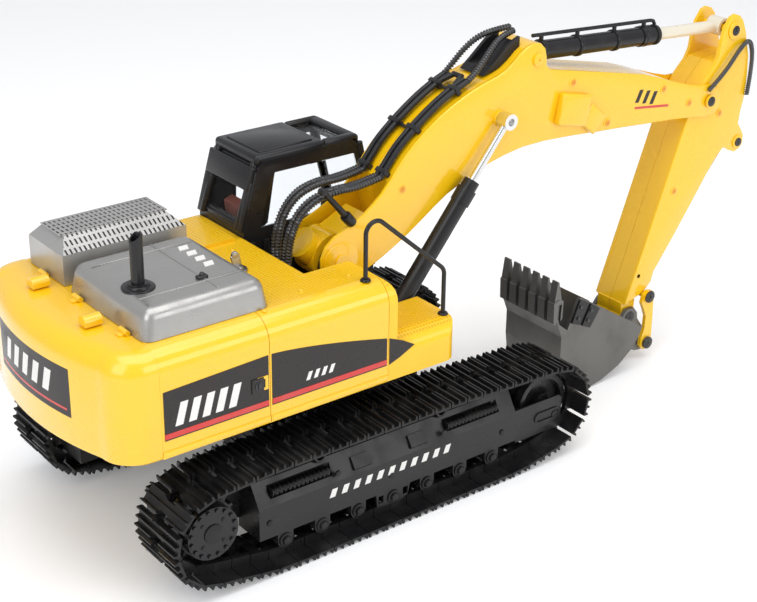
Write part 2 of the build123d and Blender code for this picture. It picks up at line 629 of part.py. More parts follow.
def boom_rim():
    """Outline of the boom's closed box, without the forks at its ends."""
    return BOOM_TOP[2:] + [(150, 240.5)] + BOOM_TOP_END[:-1] + [(296, 206), (294, 180)] + \
        BOOM_UNDER[1:-1] + [(42, 147)]


def boom_side():
    """Outline of a boom side plate with the cylinder lug on top and both pivot ends."""
    lug = [(144, 250), (149.5, 254), (156, 256.2), (163, 254.5), (167, 249), (167, 241)]
    nose = [(324, 199.5), (333, 196.5), (338, 189), (336, 180.5), (328, 176)]
    foot = [(20, 139), (14, 134.5), (6, 133), (-3, 136), (-8, 144), (-7, 154), (0, 162), (14, 168)]
    return BOOM_TOP[2:] + lug + BOOM_TOP_END + nose + BOOM_UNDER + foot


def boom_half(side):
    """One half of the boom: side plate and its share of the box walls."""
    face, middle = BOOM_Y + side * BOOM_HALF, BOOM_Y + side * 0.05
    plate_in = BOOM_Y + side * (STICK_HALF + CLEAR)
    plate = slab(boom_side(), face, plate_in)
    rim = flat(boom_rim())
    ring = slab(rim, plate_in, middle) - slab(offset(rim, amount=-3.0), plate_in, middle)
    half = plate + ring
    half += slab(disc(BOOM_PIVOT, 12.0), face, face + side * 0.8)
    half -= rod_y(BOOM_PIVOT, BOOM_Y, face + side * 2, 3.05)
    half -= rod_y(STICK_PIVOT, BOOM_Y, face + side * 2, 3.05)
    half -= rod_y(STICK_CYL_FOOT, BOOM_Y, face + side * 2, 2.55)
    eye = rod_y(BOOM_EYE, face, face + side * 2.0, 5.4)
    return half + eye


def boom_foot_casing():
    """Rounded gear casing between the bracket cheeks at the boom foot."""
    casing = rod_y(BOOM_PIVOT, BOOM_Y - 10.0, BOOM_Y + 10.0, 15.0)
    casing += rod((-1, BOOM_Y, 149), (-11, BOOM_Y, 158), 9.9)
    casing += slab([(8, 160), (30, 170), (36, 163), (20, 136)], BOOM_Y - 10.0, BOOM_Y + 10.0)
    return casing - rod_y(BOOM_PIVOT, BOOM_Y - 20, BOOM_Y + 20, 3.05)


def boom_pins():
    """Foot pin and stick pin, each with a flat head on both sides."""
    pins = []
    for at in (BOOM_PIVOT, STICK_PIVOT):
        pin = rod_y(at, BOOM_Y - BOOM_HALF - 1.0, BOOM_Y + BOOM_HALF + 1.0, 3.0)
        for side in (-1, 1):
            low = BOOM_Y + side * (BOOM_HALF + 0.85)
            pin += rod_y(at, low, low + side * 1.3, 4.6)
        pins.append(pin)
    pins.append(lug_pin())
    return Compound(children=pins)


def eye_end(at, y, half, outer, bore):
    return rod_y(at, y - half, y + half, outer) - rod_y(at, y - half - 1, y + half + 1, bore)


def at_y(point, y):
    return (point[0], y, point[1])


def barrel(foot, head, y, radius, start, end, foot_half, foot_radius, bore, rod_radius):
    """Cylinder barrel from its foot eye to its gland, bored for the rod."""
    body = rod(at_y(along(foot, head, start), y), at_y(along(foot, head, end - 16), y), radius)
    body += rod(at_y(along(foot, head, end - 16), y), at_y(along(foot, head, end - 6), y), radius + 0.7)
    body += rod(at_y(along(foot, head, end - 6), y), at_y(along(foot, head, end), y), radius - 0.4)
    body += rod(at_y(foot, y), at_y(along(foot, head, start + 1), y), radius - 1.2)
    body += rod_y(foot, y - foot_half, y + foot_half, foot_radius)
    body -= rod_y(foot, y - foot_half - 3, y + foot_half + 3, bore)
    return body - rod(at_y(along(foot, head, start + 5), y), at_y(along(foot, head, end + 1), y), rod_radius + 0.05)


def piston_rod(foot, head, y, radius, tail, eye_half, eye_radius, bore):
    """Bright rod with an eye at its head."""
    bar = rod(at_y(along(foot, head, tail), y), at_y(head, y), radius)
    bar += rod_y(head, y - eye_half, y + eye_half, eye_radius)
    return bar - rod_y(head, y - eye_half - 1, y + eye_half + 1, bore)


def boom_barrel(side):
    return barrel(BOOM_CYL_FOOT, BOOM_EYE, BOOM_Y + side * BOOM_CYL_Y, 5.6, 9.0, 101.0, 4.0, 5.0, 2.65, 2.6)


def boom_rod(side):
    y = BOOM_Y + side * BOOM_CYL_Y
    bar = rod(at_y(along(BOOM_CYL_FOOT, BOOM_EYE, 40.0), y), at_y(BOOM_EYE, y), 2.6)
    bar += rod_y(BOOM_EYE, y - side * 4.4, y + side * 4.0, 5.2)
    return bar - rod_y(BOOM_EYE, y + side * 0.5, y + side * 5.0, 2.4)


def stick_barrel():
    return barrel(STICK_CYL_FOOT, STICK_EYE, BOOM_Y, 6.3, 12.0, 124.0, 15.0, 6.2, 2.65, 4.2)


def stick_rod():
    return piston_rod(STICK_CYL_FOOT, STICK_EYE, BOOM_Y, 4.2, 64.0, 6.0, 6.4, 4.4)


def lug_pin():
    """Pin of the stick cylinder's foot."""
    pin = rod_y(STICK_CYL_FOOT, BOOM_Y - BOOM_HALF - 0.6, BOOM_Y + BOOM_HALF + 0.6, 2.5)
    for side in (-1, 1):
        pin += rod_y(STICK_CYL_FOOT, BOOM_Y + side * (BOOM_HALF + 0.05), BOOM_Y + side * (BOOM_HALF + 1.4), 4.2)
    return pin


# ---------------------------------------------------------------- stick and bucket

STICK_FRONT = [(362, 224), (365.5, 214), (366.4, 192), (365.5, 180), (358.7, 168), (336, 133.5), (291, 71),
               (287.2, 66), (285.2, 58.6), (278, 52)]
STICK_REAR = [(259.5, 46), (305.3, 172), (312, 188), (321, 201), (333, 213), (334.5, 226), (338, 240.5)]


def stick_side():
    head = [(343, 243.5), (351, 243.5), (356, 240)]
    lug = [(368.5, 155.5), (370, 149), (367, 143.5), (361, 141.5)]
    foot = [(273, 44), (271.5, 33.5), (266, 29.5), (260.5, 31.5), (258.6, 38)]
    front = STICK_FRONT[:4] + [(363, 172), (361, 160)] + lug + [(353, 151), (344, 145)] + STICK_FRONT[5:]
    return head + front + foot + STICK_REAR


def stick_rim():
    return [(345, 214), (359, 214), (361.5, 192), (360, 181), (352, 168), (328, 134), (300, 93),
            (288, 80), (272.2, 80), (305.3, 171.8), (312, 187.8), (321, 200.8), (333, 212.6)]


def stick_half(side):
    """One half of the stick: side plate, box walls and a drilled foot boss."""
    face, middle = BOOM_Y + side * STICK_HALF, BOOM_Y + side * 0.05
    inner = BOOM_Y + side * (STICK_HALF - 3.0)
    plate = slab(stick_side(), face, inner)
    narrow = slab([(240, 20), (300, 20), (300, 45.6), (240, 45.6)], face + side, BOOM_Y + side * 11.8)
    rim = flat(stick_rim())
    ring = slab(rim, inner, middle) - slab(offset(rim, amount=-2.5), inner, middle)
    boss = slab(disc(BUCKET_PIVOT, 6.8), BOOM_Y + side * 11.8, middle)
    boss += slab([(259.5, 47.0), (259.0, 38), (271, 38), (274, 47.0)], BOOM_Y + side * 11.8, middle)
    half = (plate - narrow) + ring + boss
    half += slab([(259.0, 45.0), (273.0, 45.0), (273.0, 47.5), (260.0, 47.5)], inner + side * 0.5, BOOM_Y + side * 11.0)
    half += slab(disc(STICK_PIVOT, 8.0), inner, BOOM_Y + side * 6.0)
    half += slab([(259.8, 46.5), (273, 82), (275.5, 82), (262.5, 46.5)], inner, middle)
    half -= slab(disc(ROCKER_PIVOT, 3.9), BOOM_Y + side * 7.3, BOOM_Y + side * 3.5)
    half += slab(disc(BUCKET_CYL_FOOT, 6.0), inner, BOOM_Y + side * 6.6)
    half -= rod_y(STICK_PIVOT, BOOM_Y, face + side * 2, 3.05)
    half -= rod_y(BUCKET_PIVOT, BOOM_Y, face + side * 2, 2.55)
    half -= rod_y(ROCKER_PIVOT, BOOM_Y, face + side * 2, 1.55)
    half -= rod_y(BUCKET_CYL_FOOT, BOOM_Y, face + side * 2, 2.05)
    half -= rod_y(STICK_EYE, BOOM_Y, face + side * 2, 2.55)
    return half


def stick_pins():
    """Pins that stay in the stick: rod eye, cylinder foot and rocker."""
    eye = rod_y(STICK_EYE, BOOM_Y - STICK_HALF - 0.4, BOOM_Y + STICK_HALF + 0.4, 2.5)
    for side in (-1, 1):
        low = BOOM_Y + side * (STICK_HALF + 0.05)
        eye += rod_y(STICK_EYE, low, low + side * 1.5, 4.4)
    foot = rod_y(BUCKET_CYL_FOOT, BOOM_Y - STICK_HALF, BOOM_Y + STICK_HALF, 2.0)
    rocker = rod_y(ROCKER_PIVOT, BOOM_Y - STICK_HALF, BOOM_Y + STICK_HALF, 1.5)
    bucket = rod_y(BUCKET_PIVOT, BOOM_Y - 15.3, BOOM_Y + 15.3, 2.5)
    return Compound(children=[eye, foot, rocker, bucket])


def bucket_barrel():
    return barrel(BUCKET_CYL_FOOT, LINK_TOP, BOOM_Y, 5.0, 8.0, 84.0, 6.0, 5.2, 2.05, 2.4)


def bucket_rod():
    return piston_rod(BUCKET_CYL_FOOT, LINK_TOP, BOOM_Y, 2.4, 40.0, 3.2, 5.7, 4.1)


def rocker():
    """Two rocker arms from the stick to the head of the link."""
    arms = []
    for side in (-1, 1):
        low, high = BOOM_Y + side * 3.9, BOOM_Y + side * 6.9
        arm = slab(disc(ROCKER_PIVOT, 3.4), low, high) + slab(disc(LINK_TOP, 4.4), low, high)
        a, b = ROCKER_PIVOT, LINK_TOP
        reach = hypot(a[0] - b[0], a[1] - b[1])
        strap = [along(a, b, 0, 2.6), along(a, b, reach, 3.2), along(a, b, reach, -3.2), along(a, b, 0, -2.6)]
        arm += slab(strap, low, high)
        arm -= rod_y(ROCKER_PIVOT, BOOM_Y - 20, BOOM_Y + 20, 1.55)
        arm -= rod_y(LINK_TOP, BOOM_Y - 20, BOOM_Y + 20, 2.25)
        arms.append(arm)
    return Compound(children=arms)


def bucket_link():
    """Pair of curved link plates on a cross pin."""
    pieces = rod_y(LINK_TOP, BOOM_Y - 18.6, BOOM_Y + 18.6, 2.2)
    shape = [(283.4, 53.5), (285.6, 47), (286.2, 30), (286.5, 12), (284, 7.6), (278.5, 7.4), (275.6, 11),
             (275.8, 17), (278.6, 24), (279.0, 34), (276.5, 40), (273.6, 46), (275.4, 52), (279.5, 54.5)]
    for side in (-1, 1):
        pieces += rod_y(LINK_TOP, BOOM_Y + side * 7.2, BOOM_Y + side * 15.8, 2.5)
        plate = slab(shape, BOOM_Y + side * 15.7, BOOM_Y + side * 18.5)
        plate -= rod_y(LINK_LOW, BOOM_Y + side * 15, BOOM_Y + side * 19, 3.0)
        pieces += plate
        pieces += rod_y(LINK_TOP, BOOM_Y + side * 18.4, BOOM_Y + side * 19.8, 4.4)
    return pieces


BUCKET_BACK = [(181.5, 73.0), (180.6, 60.0), (185.4, 48.0), (185.4, 30.0), (187.0, 18.5), (192.0, 8.6), (201.0, 1.6),
               (213.5, 0.0), (228.0, 2.6), (244.0, 9.0), (256.5, 18.5), (263.0, 27.0)]


def bucket():
    """Open bucket: bowed back plate, two cheeks with raised edges and the two ears."""
    inner = [(184.5, 73.0), (183.4, 60.0), (188.2, 48.6), (188.2, 30.4), (189.6, 20.2), (194.2, 11.2), (202.0, 4.9),
             (213.5, 3.2), (227.0, 5.6), (242.6, 11.8), (254.2, 20.6), (260.4, 28.6)]
    skin = slab(BUCKET_BACK + inner[::-1], BOOM_Y - BUCKET_HALF + 2, BOOM_Y + BUCKET_HALF - 2)
    cheek = BUCKET_BACK[1:] + [(265.6, 33.5), (211.5, 67.5), (200.5, 74.0), (196.5, 66.0), (190.5, 52.0)]
    body = skin
    for side in (-1, 1):
        outer = BOOM_Y + side * BUCKET_HALF
        body += slab(cheek, outer, outer - side * 2.4)
        ear_low, ear_high = BOOM_Y + side * 12.3, BOOM_Y + side * 15.3
        ear = slab([(252.0, 16.5), (262.0, 12.0), (274, 6.8), (281, 6.0), (287, 9.5), (288, 15), (283, 20),
                    (273.5, 33), (272.8, 38), (269, 42.6), (262, 42.6), (258.4, 38), (258.4, 25.6)], ear_low, ear_high)
        ear -= rod_y(BUCKET_PIVOT, ear_low - side, ear_high + side, 2.55)
        body += ear
        body += rod_y(LINK_LOW, ear_low, BOOM_Y + side * 18.6, 2.2)
        body += rod_y(LINK_LOW, BOOM_Y + side * 18.55, BOOM_Y + side * 20.0, 4.4)
    return body


def bucket_teeth():
    """Six teeth on the lip, each an adapter and a thin tip."""
    teeth = []
    for i in range(6):
        y = BOOM_Y + (i - 2.5) * 9.6
        shank = [(180.5, 58.0), (177.6, 60.0), (177.2, 75.0), (181.4, 77.0), (185.8, 75.0), (185.6, 62.0)]
        tip = [(177.8, 75.0), (180.0, 90.0), (181.2, 90.0), (184.6, 75.0)]
        tooth = slab(shank, y - 3.3, y + 3.3) - slab(BUCKET_BACK[:2] + [(183.4, 50.0), (184.5, 73.0)], -90, 90)
        tooth -= slab([(181.5, 73.0), (180.6, 60.0), (181.0, 50.0), (183.8, 50.0), (183.4, 60.0), (184.5, 73.0)],
                      -90, 90)
        tooth += slab(tip, y - 2.9, y + 2.9)
        teeth.append(tooth)
    return teeth


def side_cutters():
    """Bolted cutters on the bucket cheeks."""
    made = []
    for side in (-1, 1):
        outer = BOOM_Y + side * BUCKET_HALF
        for points in ([(199.6, 73.2), (193.0, 57.0), (200.5, 54.0), (208.0, 68.6)],
                       [(210.4, 67.2), (203.0, 52.6), (210.5, 49.0), (219.0, 61.6)]):
            made.append(slab(points, outer + side * 0.02, outer + side * 1.8))
    return Compound(children=made)


# ---------------------------------------------------------------- hoses

def hose(points, radius):
    """A round hose of straight runs joined by arcs as large as the runs allow."""
    radii = []
    for a, b, c in zip(points, points[1:], points[2:]):
        first, second = Vector(*b) - Vector(*a), Vector(*c) - Vector(*b)
        turn = radians(first.get_angle(second))
        radii.append(0.45 * min(first.length, second.length) / (sin(turn / 2) / cos(turn / 2)))
    path = FilletPolyline(*points, radius=radii)
    return sweep(Plane(origin=path @ 0, z_dir=path % 0) * Circle(radius), path=path)


def above_boom(x, lift):
    """Height above the boom's top line at x."""
    line = BOOM_TOP[2:] + [(136, 243)]
    for (x0, z0), (x1, z1) in zip(line, line[1:]):
        if x0 <= x <= x1:
            return z0 + (z1 - z0) * (x - x0) / (x1 - x0) + lift
    return line[-1][1] + lift


PIPE_Y = (-22.0, -17.6, -4.6, 0.0)


def boom_pipes():
    """Four steel pipes along the boom's back, held in pairs."""
    pipes = []
    for y in PIPE_Y:
        stations = (41.0, 52.0, 66.0, 84.0, 100.0, 108.0)
        pipes.append(hose([(x, y, above_boom(x, 4.6)) for x in stations], 1.7))
    return Compound(children=pipes)


def deck_hoses():
    """Four corrugated hoses from the deck opening up to the boom pipes."""
    made = []
    for i, y in enumerate(PIPE_Y):
        x0, y0 = -25.6 + 0.6 * (i % 2), -17.0 + 5.0 * i
        made.append(hose([(x0, y0, 100.0), (x0, y0, 138.0), (x0 + 1.5, y0 + (y - y0) * 0.3, 168.0),
                          (x0 + 13.0, y0 + (y - y0) * 0.6, 185.0), (6.0, y, 190.0), (24.0, y, 188.8),
                          (38.4, y, above_boom(38.4, 4.6))], 1.9))
    return Compound(children=made)


def hose_trough():
    """Dark channel on the boom's back in front of the stick cylinder's foot."""
    trough = slab([(119, 240.0), (131, 242.5), (142, 249.5), (148.5, 254.0), (148.5, 260.5), (139, 256.5),
                   (127, 246.5)], BOOM_Y - 11.0, BOOM_Y + 11.0)
    return trough - slab([(124, 243.5), (131, 245.0), (149, 257.0), (149, 264), (120, 250)],
                         BOOM_Y - 8.5, BOOM_Y + 8.5)


def boom_hoses():
    """Two corrugated hoses from the pipes to the stick cylinder's foot."""
    low = hose([(109.0, -22.0, above_boom(109.0, 4.6)), (118.0, -20.0, 246.0), (129.0, -16.0, 253.0),
                (138.0, -14.0, 260.0), (150.0, -13.5, 262.8)], 1.9)
    high = hose([(109.0, 0.0, above_boom(109.0, 4.6)), (117.0, -1.0, 250.0), (128.0, -2.5, 258.0),
                 (139.0, -4.5, 262.5), (152.0, -6.0, 263.2)], 1.9)
    return Compound(children=[low, high])


def both(shape):
    """A right-hand piece and its mirror image as one group."""
    return Compound(children=[shape, mirror_y(shape)])


def build():
    parts = {}
    parts["chassis_frame"] = chassis()
    parts["slew_ring"] = slew_ring()
    parts["track_frame_right"] = track_frame()
    parts["idler_wheel_right"] = idler_wheel()
    parts["drive_sprocket_right"] = drive_sprocket()
    for name in ("track_frame", "idler_wheel", "drive_sprocket"):
        parts[name + "_left"] = mirror_y(parts[name + "_right"])
    parts["idler_yokes"] = both(idler_yoke())
    parts["travel_motors"] = both(travel_motor())
    for name, side in (("right", -1), ("left", 1)):
        parts["track_shoes_" + name] = chain(shoe(), side)
    links = [chain(link(), side).solids() for side in (-1, 1)]
    parts["track_links"] = Compound(children=list(links[0]) + list(links[1]))
    parts["track_rollers"] = Compound(children=list(rollers(-1).solids()) + list(rollers(1).solids()))
    parts["frame_springs"] = springs()
    return parts


def build_house():
    parts = {}
    low = HOUSE_BOTTOM
    parts["house_floor"] = house_floor()
    parts["boom_bracket"] = boom_bracket()
    parts["counterweight"] = counterweight()
    door = side_shell(REAR_SEAM_X, DOOR_SEAM_X - 0.2, low, DECK_Z, HOUSE_ROUND, WALL)
    parts["engine_door_right"] = door + door_latch() + skirt(REAR_SEAM_X, DOOR_SEAM_X - 0.2)
    front = side_shell(DOOR_SEAM_X + 0.2, FRONT_SEAM_X, low, DECK_Z, HOUSE_ROUND, WALL)
    parts["side_panel_right"] = front + skirt(DOOR_SEAM_X + 0.2, FRONT_SEAM_X)
    left = side_shell(REAR_SEAM_X, DECK_FRONT_X, low, DECK_Z, HOUSE_ROUND, WALL)
    parts["side_panel_left"] = mirror_y(left + skirt(REAR_SEAM_X, DECK_FRONT_X))
    parts["deck_plate"] = deck_plate()
    parts["tool_box"] = tool_box()
    parts["engine_hood"] = near_hood()
    parts["vent_hood"] = vent_box()
    parts["exhaust_stack"] = exhaust()
    parts["slew_motor"] = slew_motor()
    parts["slew_pinion"] = slew_pinion()
    parts["battery_pack"] = battery_pack()
    parts["control_board"] = control_board()
    parts["hood_hinges"] = hood_hinges()
    parts["lifting_lugs"] = lifting_lugs()
    parts["hood_latch"] = hood_latch()
    parts["handrail"] = handrail()
    parts["cab_shell"] = cab_shell()
    parts["cab_glass"] = cab_glass()
    parts["cab_seat"] = cab_seat()
    parts["cab_console"] = cab_console()
    return parts


def build_arm():
    parts = {}
    for name, side in (("right", -1), ("left", 1)):
        parts["boom_half_" + name] = boom_half(side)
        parts["stick_half_" + name] = stick_half(side)
    parts["boom_cylinder_barrels"] = Compound(children=[boom_barrel(-1), boom_barrel(1)])
    parts["boom_cylinder_rods"] = Compound(children=[boom_rod(-1), boom_rod(1)])
    parts["boom_foot_casing"] = boom_foot_casing()
    parts["boom_pins"] = boom_pins()
    parts["stick_cylinder_barrel"] = stick_barrel()
    parts["stick_cylinder_rod"] = stick_rod()
    parts["stick_pins"] = stick_pins()
    parts["bucket_cylinder_barrel"] = bucket_barrel()
    parts["bucket_cylinder_rod"] = bucket_rod()
    parts["rocker_arms"] = rocker()
    parts["bucket_link"] = bucket_link()
    parts["bucket_shell"] = bucket()
    parts["bucket_teeth"] = Compound(children=bucket_teeth())
    parts["side_cutters"] = side_cutters()
    parts["boom_pipes"] = boom_pipes()
    parts["deck_hoses"] = deck_hoses()
    parts["hose_trough"] = hose_trough()
    parts["boom_hoses"] = boom_hoses()
    return parts


for part_name, solid in {**build(), **build_house(), **build_arm()}.items():
    save(part_name, solid)
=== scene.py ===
import bpy
import bmesh
from math import cos, radians, sin
from mathutils import Matrix, Vector


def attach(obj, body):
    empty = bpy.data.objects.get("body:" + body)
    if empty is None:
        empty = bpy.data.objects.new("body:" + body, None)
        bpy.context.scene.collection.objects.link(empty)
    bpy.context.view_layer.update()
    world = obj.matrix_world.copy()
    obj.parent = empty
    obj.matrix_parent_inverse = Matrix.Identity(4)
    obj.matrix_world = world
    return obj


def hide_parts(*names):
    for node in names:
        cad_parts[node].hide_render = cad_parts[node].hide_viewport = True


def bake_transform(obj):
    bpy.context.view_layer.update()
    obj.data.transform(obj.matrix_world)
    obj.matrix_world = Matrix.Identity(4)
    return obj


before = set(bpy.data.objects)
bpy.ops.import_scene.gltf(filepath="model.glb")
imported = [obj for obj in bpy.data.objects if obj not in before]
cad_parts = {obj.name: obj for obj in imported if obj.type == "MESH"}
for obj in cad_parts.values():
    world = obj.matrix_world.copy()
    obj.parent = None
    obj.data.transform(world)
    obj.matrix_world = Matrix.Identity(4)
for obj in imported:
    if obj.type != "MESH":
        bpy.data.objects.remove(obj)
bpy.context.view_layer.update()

# Sizes are in millimetres from the slew axis at ground level, as the machine is laid out.
MID_X = 91.25           # from the slew axis to the middle of the machine's length
BOOM_Y = -10.0          # middle plane of boom, stick and bucket
BOOM_HALF = 17.5        # half widths of the boom and of the stick
STICK_HALF = 15.0
HOUSE_SIDE = -82.0      # right face of the house
SEAM_X = -151.1         # front edge of the rear casting
DOOR_SEAM_X = -82.0     # seam in front of the side door
FRAME_SIDE = 88.0       # outer face of the track frames
SPROCKET = (-125.8, 38.0)
BAND_SKIN = (-82.25, HOUSE_SIDE)
MARK_SKIN = (-82.4, -82.24)
BOTH_SIDES = (-1, 1)


def at(x, y, z):
    """A point of the machine in metres in the frame."""
    return Vector(((x - MID_X) / 1000, y / 1000, z / 1000))


# ------------------------------------------------------------------ finishes

def new_group(name, inputs, outputs):
    """An empty node group with its sockets, and its two end nodes."""
    group = bpy.data.node_groups.new(name, "ShaderNodeTree")
    for label, kind, value in inputs:
        socket = group.interface.new_socket(label, in_out="INPUT", socket_type=kind)
        socket.default_value = value
    for label, kind in outputs:
        group.interface.new_socket(label, in_out="OUTPUT", socket_type=kind)
    return group, group.nodes.new("NodeGroupInput"), group.nodes.new("NodeGroupOutput")


def math_node(tree, operation, a, b=None, clamp=False):
    """The output of one Math node; a and b are sockets or numbers."""
    node = tree.nodes.new("ShaderNodeMath")
    node.operation = operation
    node.use_clamp = clamp
    for i, value in enumerate((a, b)):
        if value is None:
            continue
        if isinstance(value, (int, float)):
            node.inputs[i].default_value = value
        else:
            tree.links.new(value, node.inputs[i])
    return node.outputs[0]


def worn_group():
    """Paint with slow changes of tone, fine orange peel and a little dust."""
    group, given, out = new_group("worn_paint", [
        ("Color", "NodeSocketColor", (1, 1, 1, 1)), ("Dust Color", "NodeSocketColor", (0.5, 0.48, 0.42, 1)),
        ("Roughness", "NodeSocketFloat", 0.3), ("Dust", "NodeSocketFloat", 0.1), ("Scale", "NodeSocketFloat", 60.0)],
        [("Color", "NodeSocketColor"), ("Roughness", "NodeSocketFloat"), ("Height", "NodeSocketFloat")])
    links = group.links
    where = group.nodes.new("ShaderNodeTexCoord")
    slow = group.nodes.new("ShaderNodeTexNoise")
    slow.inputs["Detail"].default_value = 4.0
    links.new(where.outputs["Object"], slow.inputs["Vector"])
    links.new(given.outputs["Scale"], slow.inputs["Scale"])
    fine = group.nodes.new("ShaderNodeTexNoise")
    fine.inputs["Scale"].default_value = 1400.0
    fine.inputs["Detail"].default_value = 2.0
    links.new(where.outputs["Object"], fine.inputs["Vector"])
    dirt = group.nodes.new("ShaderNodeMapRange")
    dirt.inputs["From Min"].default_value = 0.45
    dirt.inputs["From Max"].default_value = 0.8
    links.new(slow.outputs["Fac"], dirt.inputs["Value"])
    amount = math_node(group, "MULTIPLY", dirt.outputs["Result"], given.outputs["Dust"], True)
    blend = group.nodes.new("ShaderNodeMix")
    blend.data_type = "RGBA"
    links.new(amount, blend.inputs["Factor"])
    links.new(given.outputs["Color"], blend.inputs["A"])
    links.new(given.outputs["Dust Color"], blend.inputs["B"])
    links.new(blend.outputs["Result"], out.inputs["Color"])
    swing = math_node(group, "SUBTRACT", slow.outputs["Fac"], 0.5)
    swing = math_node(group, "MULTIPLY", swing, 0.25)
    rough = math_node(group, "ADD", given.outputs["Roughness"], swing)
    links.new(math_node(group, "ADD", rough, amount, True), out.inputs["Roughness"])
    links.new(fine.outputs["Fac"], out.inputs["Height"])
    return group


def dots_group():
    """Raised dots or slots in rows over the upward faces."""
    group, given, out = new_group("tread_rows", [
        ("Pitch X", "NodeSocketFloat", 0.003), ("Pitch Y", "NodeSocketFloat", 0.003),
        ("Fill X", "NodeSocketFloat", 0.5), ("Fill Y", "NodeSocketFloat", 0.5)],
        [("Mask", "NodeSocketFloat")])
    links = group.links
    where = group.nodes.new("ShaderNodeTexCoord")
    parts = group.nodes.new("ShaderNodeSeparateXYZ")
    links.new(where.outputs["Object"], parts.inputs[0])
    shape = group.nodes.new("ShaderNodeNewGeometry")
    facing = group.nodes.new("ShaderNodeSeparateXYZ")
    links.new(shape.outputs["Normal"], facing.inputs[0])
    up = math_node(group, "GREATER_THAN", facing.outputs["Z"], 0.75)
    rows = []
    for axis in ("X", "Y"):
        cell = math_node(group, "DIVIDE", parts.outputs[axis], given.outputs["Pitch " + axis])
        cell = math_node(group, "FRACT", cell)
        away = math_node(group, "ABSOLUTE", math_node(group, "SUBTRACT", cell, 0.5))
        reach = math_node(group, "MULTIPLY", given.outputs["Fill " + axis], 0.5)
        edge = math_node(group, "SUBTRACT", reach, away)
        rows.append(math_node(group, "MULTIPLY", edge, 12.0, True))
    both = math_node(group, "MULTIPLY", rows[0], rows[1])
    links.new(math_node(group, "MULTIPLY", both, up), out.inputs["Mask"])
    return group


WORN = worn_group()
ROWS = dots_group()


def finish(name, color, rough=0.3, metallic=0.0, coat=0.0, dust=0.1, dust_color=(0.5, 0.48, 0.42),
           bump=0.05, scale=60.0, rows=None, row_color=None):
    """A procedural finish on the worn paint group, with raised rows where they are asked for."""
    made = bpy.data.materials.new(name)
    made.use_nodes = True
    tree = made.node_tree
    shader = tree.nodes["Principled BSDF"]
    shader.inputs["Metallic"].default_value = metallic
    shader.inputs["Coat Weight"].default_value = coat
    shader.inputs["Coat Roughness"].default_value = 0.08
    worn = tree.nodes.new("ShaderNodeGroup")
    worn.node_tree = WORN
    worn.inputs["Color"].default_value = (*color, 1)
    worn.inputs["Dust Color"].default_value = (*dust_color, 1)
    worn.inputs["Roughness"].default_value = rough
    worn.inputs["Dust"].default_value = dust
    worn.inputs["Scale"].default_value = scale
    tint, height = worn.outputs["Color"], worn.outputs["Height"]
    relief = tree.nodes.new("ShaderNodeBump")
    relief.inputs["Strength"].default_value = bump
    relief.inputs["Distance"].default_value = 0.0004
    tree.links.new(height, relief.inputs["Height"])
    normal = relief.outputs["Normal"]
    if rows:
        pattern = tree.nodes.new("ShaderNodeGroup")
        pattern.node_tree = ROWS
        for label, value in zip(("Pitch X", "Pitch Y", "Fill X", "Fill Y"), rows[:4]):
            pattern.inputs[label].default_value = value
        raised = tree.nodes.new("ShaderNodeBump")
        raised.invert = rows[4] < 0
        raised.inputs["Strength"].default_value = abs(rows[4])
        raised.inputs["Distance"].default_value = 0.0006
        tree.links.new(pattern.outputs["Mask"], raised.inputs["Height"])
        tree.links.new(normal, raised.inputs["Normal"])
        normal = raised.outputs["Normal"]
        # the row colour tints the rows; on the vent hood it is painted shade in the recessed slots
        if row_color:
            mix = tree.nodes.new("ShaderNodeMix")
            mix.data_type = "RGBA"
            tree.links.new(pattern.outputs["Mask"], mix.inputs["Factor"])
            tree.links.new(tint, mix.inputs["A"])
            mix.inputs["B"].default_value = (*row_color, 1)
            tint = mix.outputs["Result"]
    tree.links.new(tint, shader.inputs["Base Color"])
    tree.links.new(worn.outputs["Roughness"], shader.inputs["Roughness"])
    tree.links.new(normal, shader.inputs["Normal"])
    return made


YELLOW = (0.94, 0.55, 0.004)
yellow = finish("yellow_paint", YELLOW, rough=0.24, coat=0.8, dust=0.06, dust_color=(0.72, 0.42, 0.02))
yellow_tread = finish("yellow_tread_plate", YELLOW, rough=0.30, coat=0.3, dust=0.15, dust_color=(0.72, 0.42, 0.02),
                      rows=(0.0023, 0.0023, 0.55, 0.55, 0.9), row_color=(0.80, 0.47, 0.008))
black = finish("gloss_black", (0.012, 0.012, 0.013), rough=0.26, coat=0.3, dust=0.25, dust_color=(0.03, 0.029, 0.027))
track_black = finish("track_black", (0.014, 0.014, 0.015), rough=0.30, metallic=0.35, dust=0.35,
                     dust_color=(0.07, 0.068, 0.065), bump=0.12)
cab_black = finish("cab_black", (0.014, 0.014, 0.015), rough=0.24, coat=0.5, dust=0.1, dust_color=(0.05, 0.05, 0.05))
hose_black = finish("hose_sleeve", (0.018, 0.018, 0.019), rough=0.22, dust=0.1, dust_color=(0.08, 0.08, 0.078))
gunmetal = finish("gunmetal_hood", (0.40, 0.395, 0.38), rough=0.30, metallic=0.75, coat=0.25, dust=0.15,
                  dust_color=(0.22, 0.22, 0.21), scale=90)
# near-black row colour: painted shade inside the recessed vent slots
vent_metal = finish("gunmetal_vent", (0.46, 0.455, 0.44), rough=0.34, metallic=0.7, coat=0.2, dust=0.15,
                    dust_color=(0.25, 0.25, 0.24), rows=(0.0030, 0.0052, 0.42, 0.72, -1.0),
                    row_color=(0.02, 0.02, 0.02))
bucket_metal = finish("bucket_metal", (0.15, 0.146, 0.138), rough=0.36, metallic=0.7, dust=0.3,
                      dust_color=(0.14, 0.13, 0.12), scale=45, bump=0.1)
chrome = finish("polished_rod", (0.75, 0.75, 0.74), rough=0.12, metallic=1.0, dust=0.05, bump=0.02)
brushed = finish("bright_screw", (0.42, 0.41, 0.40), rough=0.28, metallic=1.0, dust=0.1)
dark_screw = finish("dark_screw", (0.06, 0.06, 0.062), rough=0.28, metallic=0.9, dust=0.1)
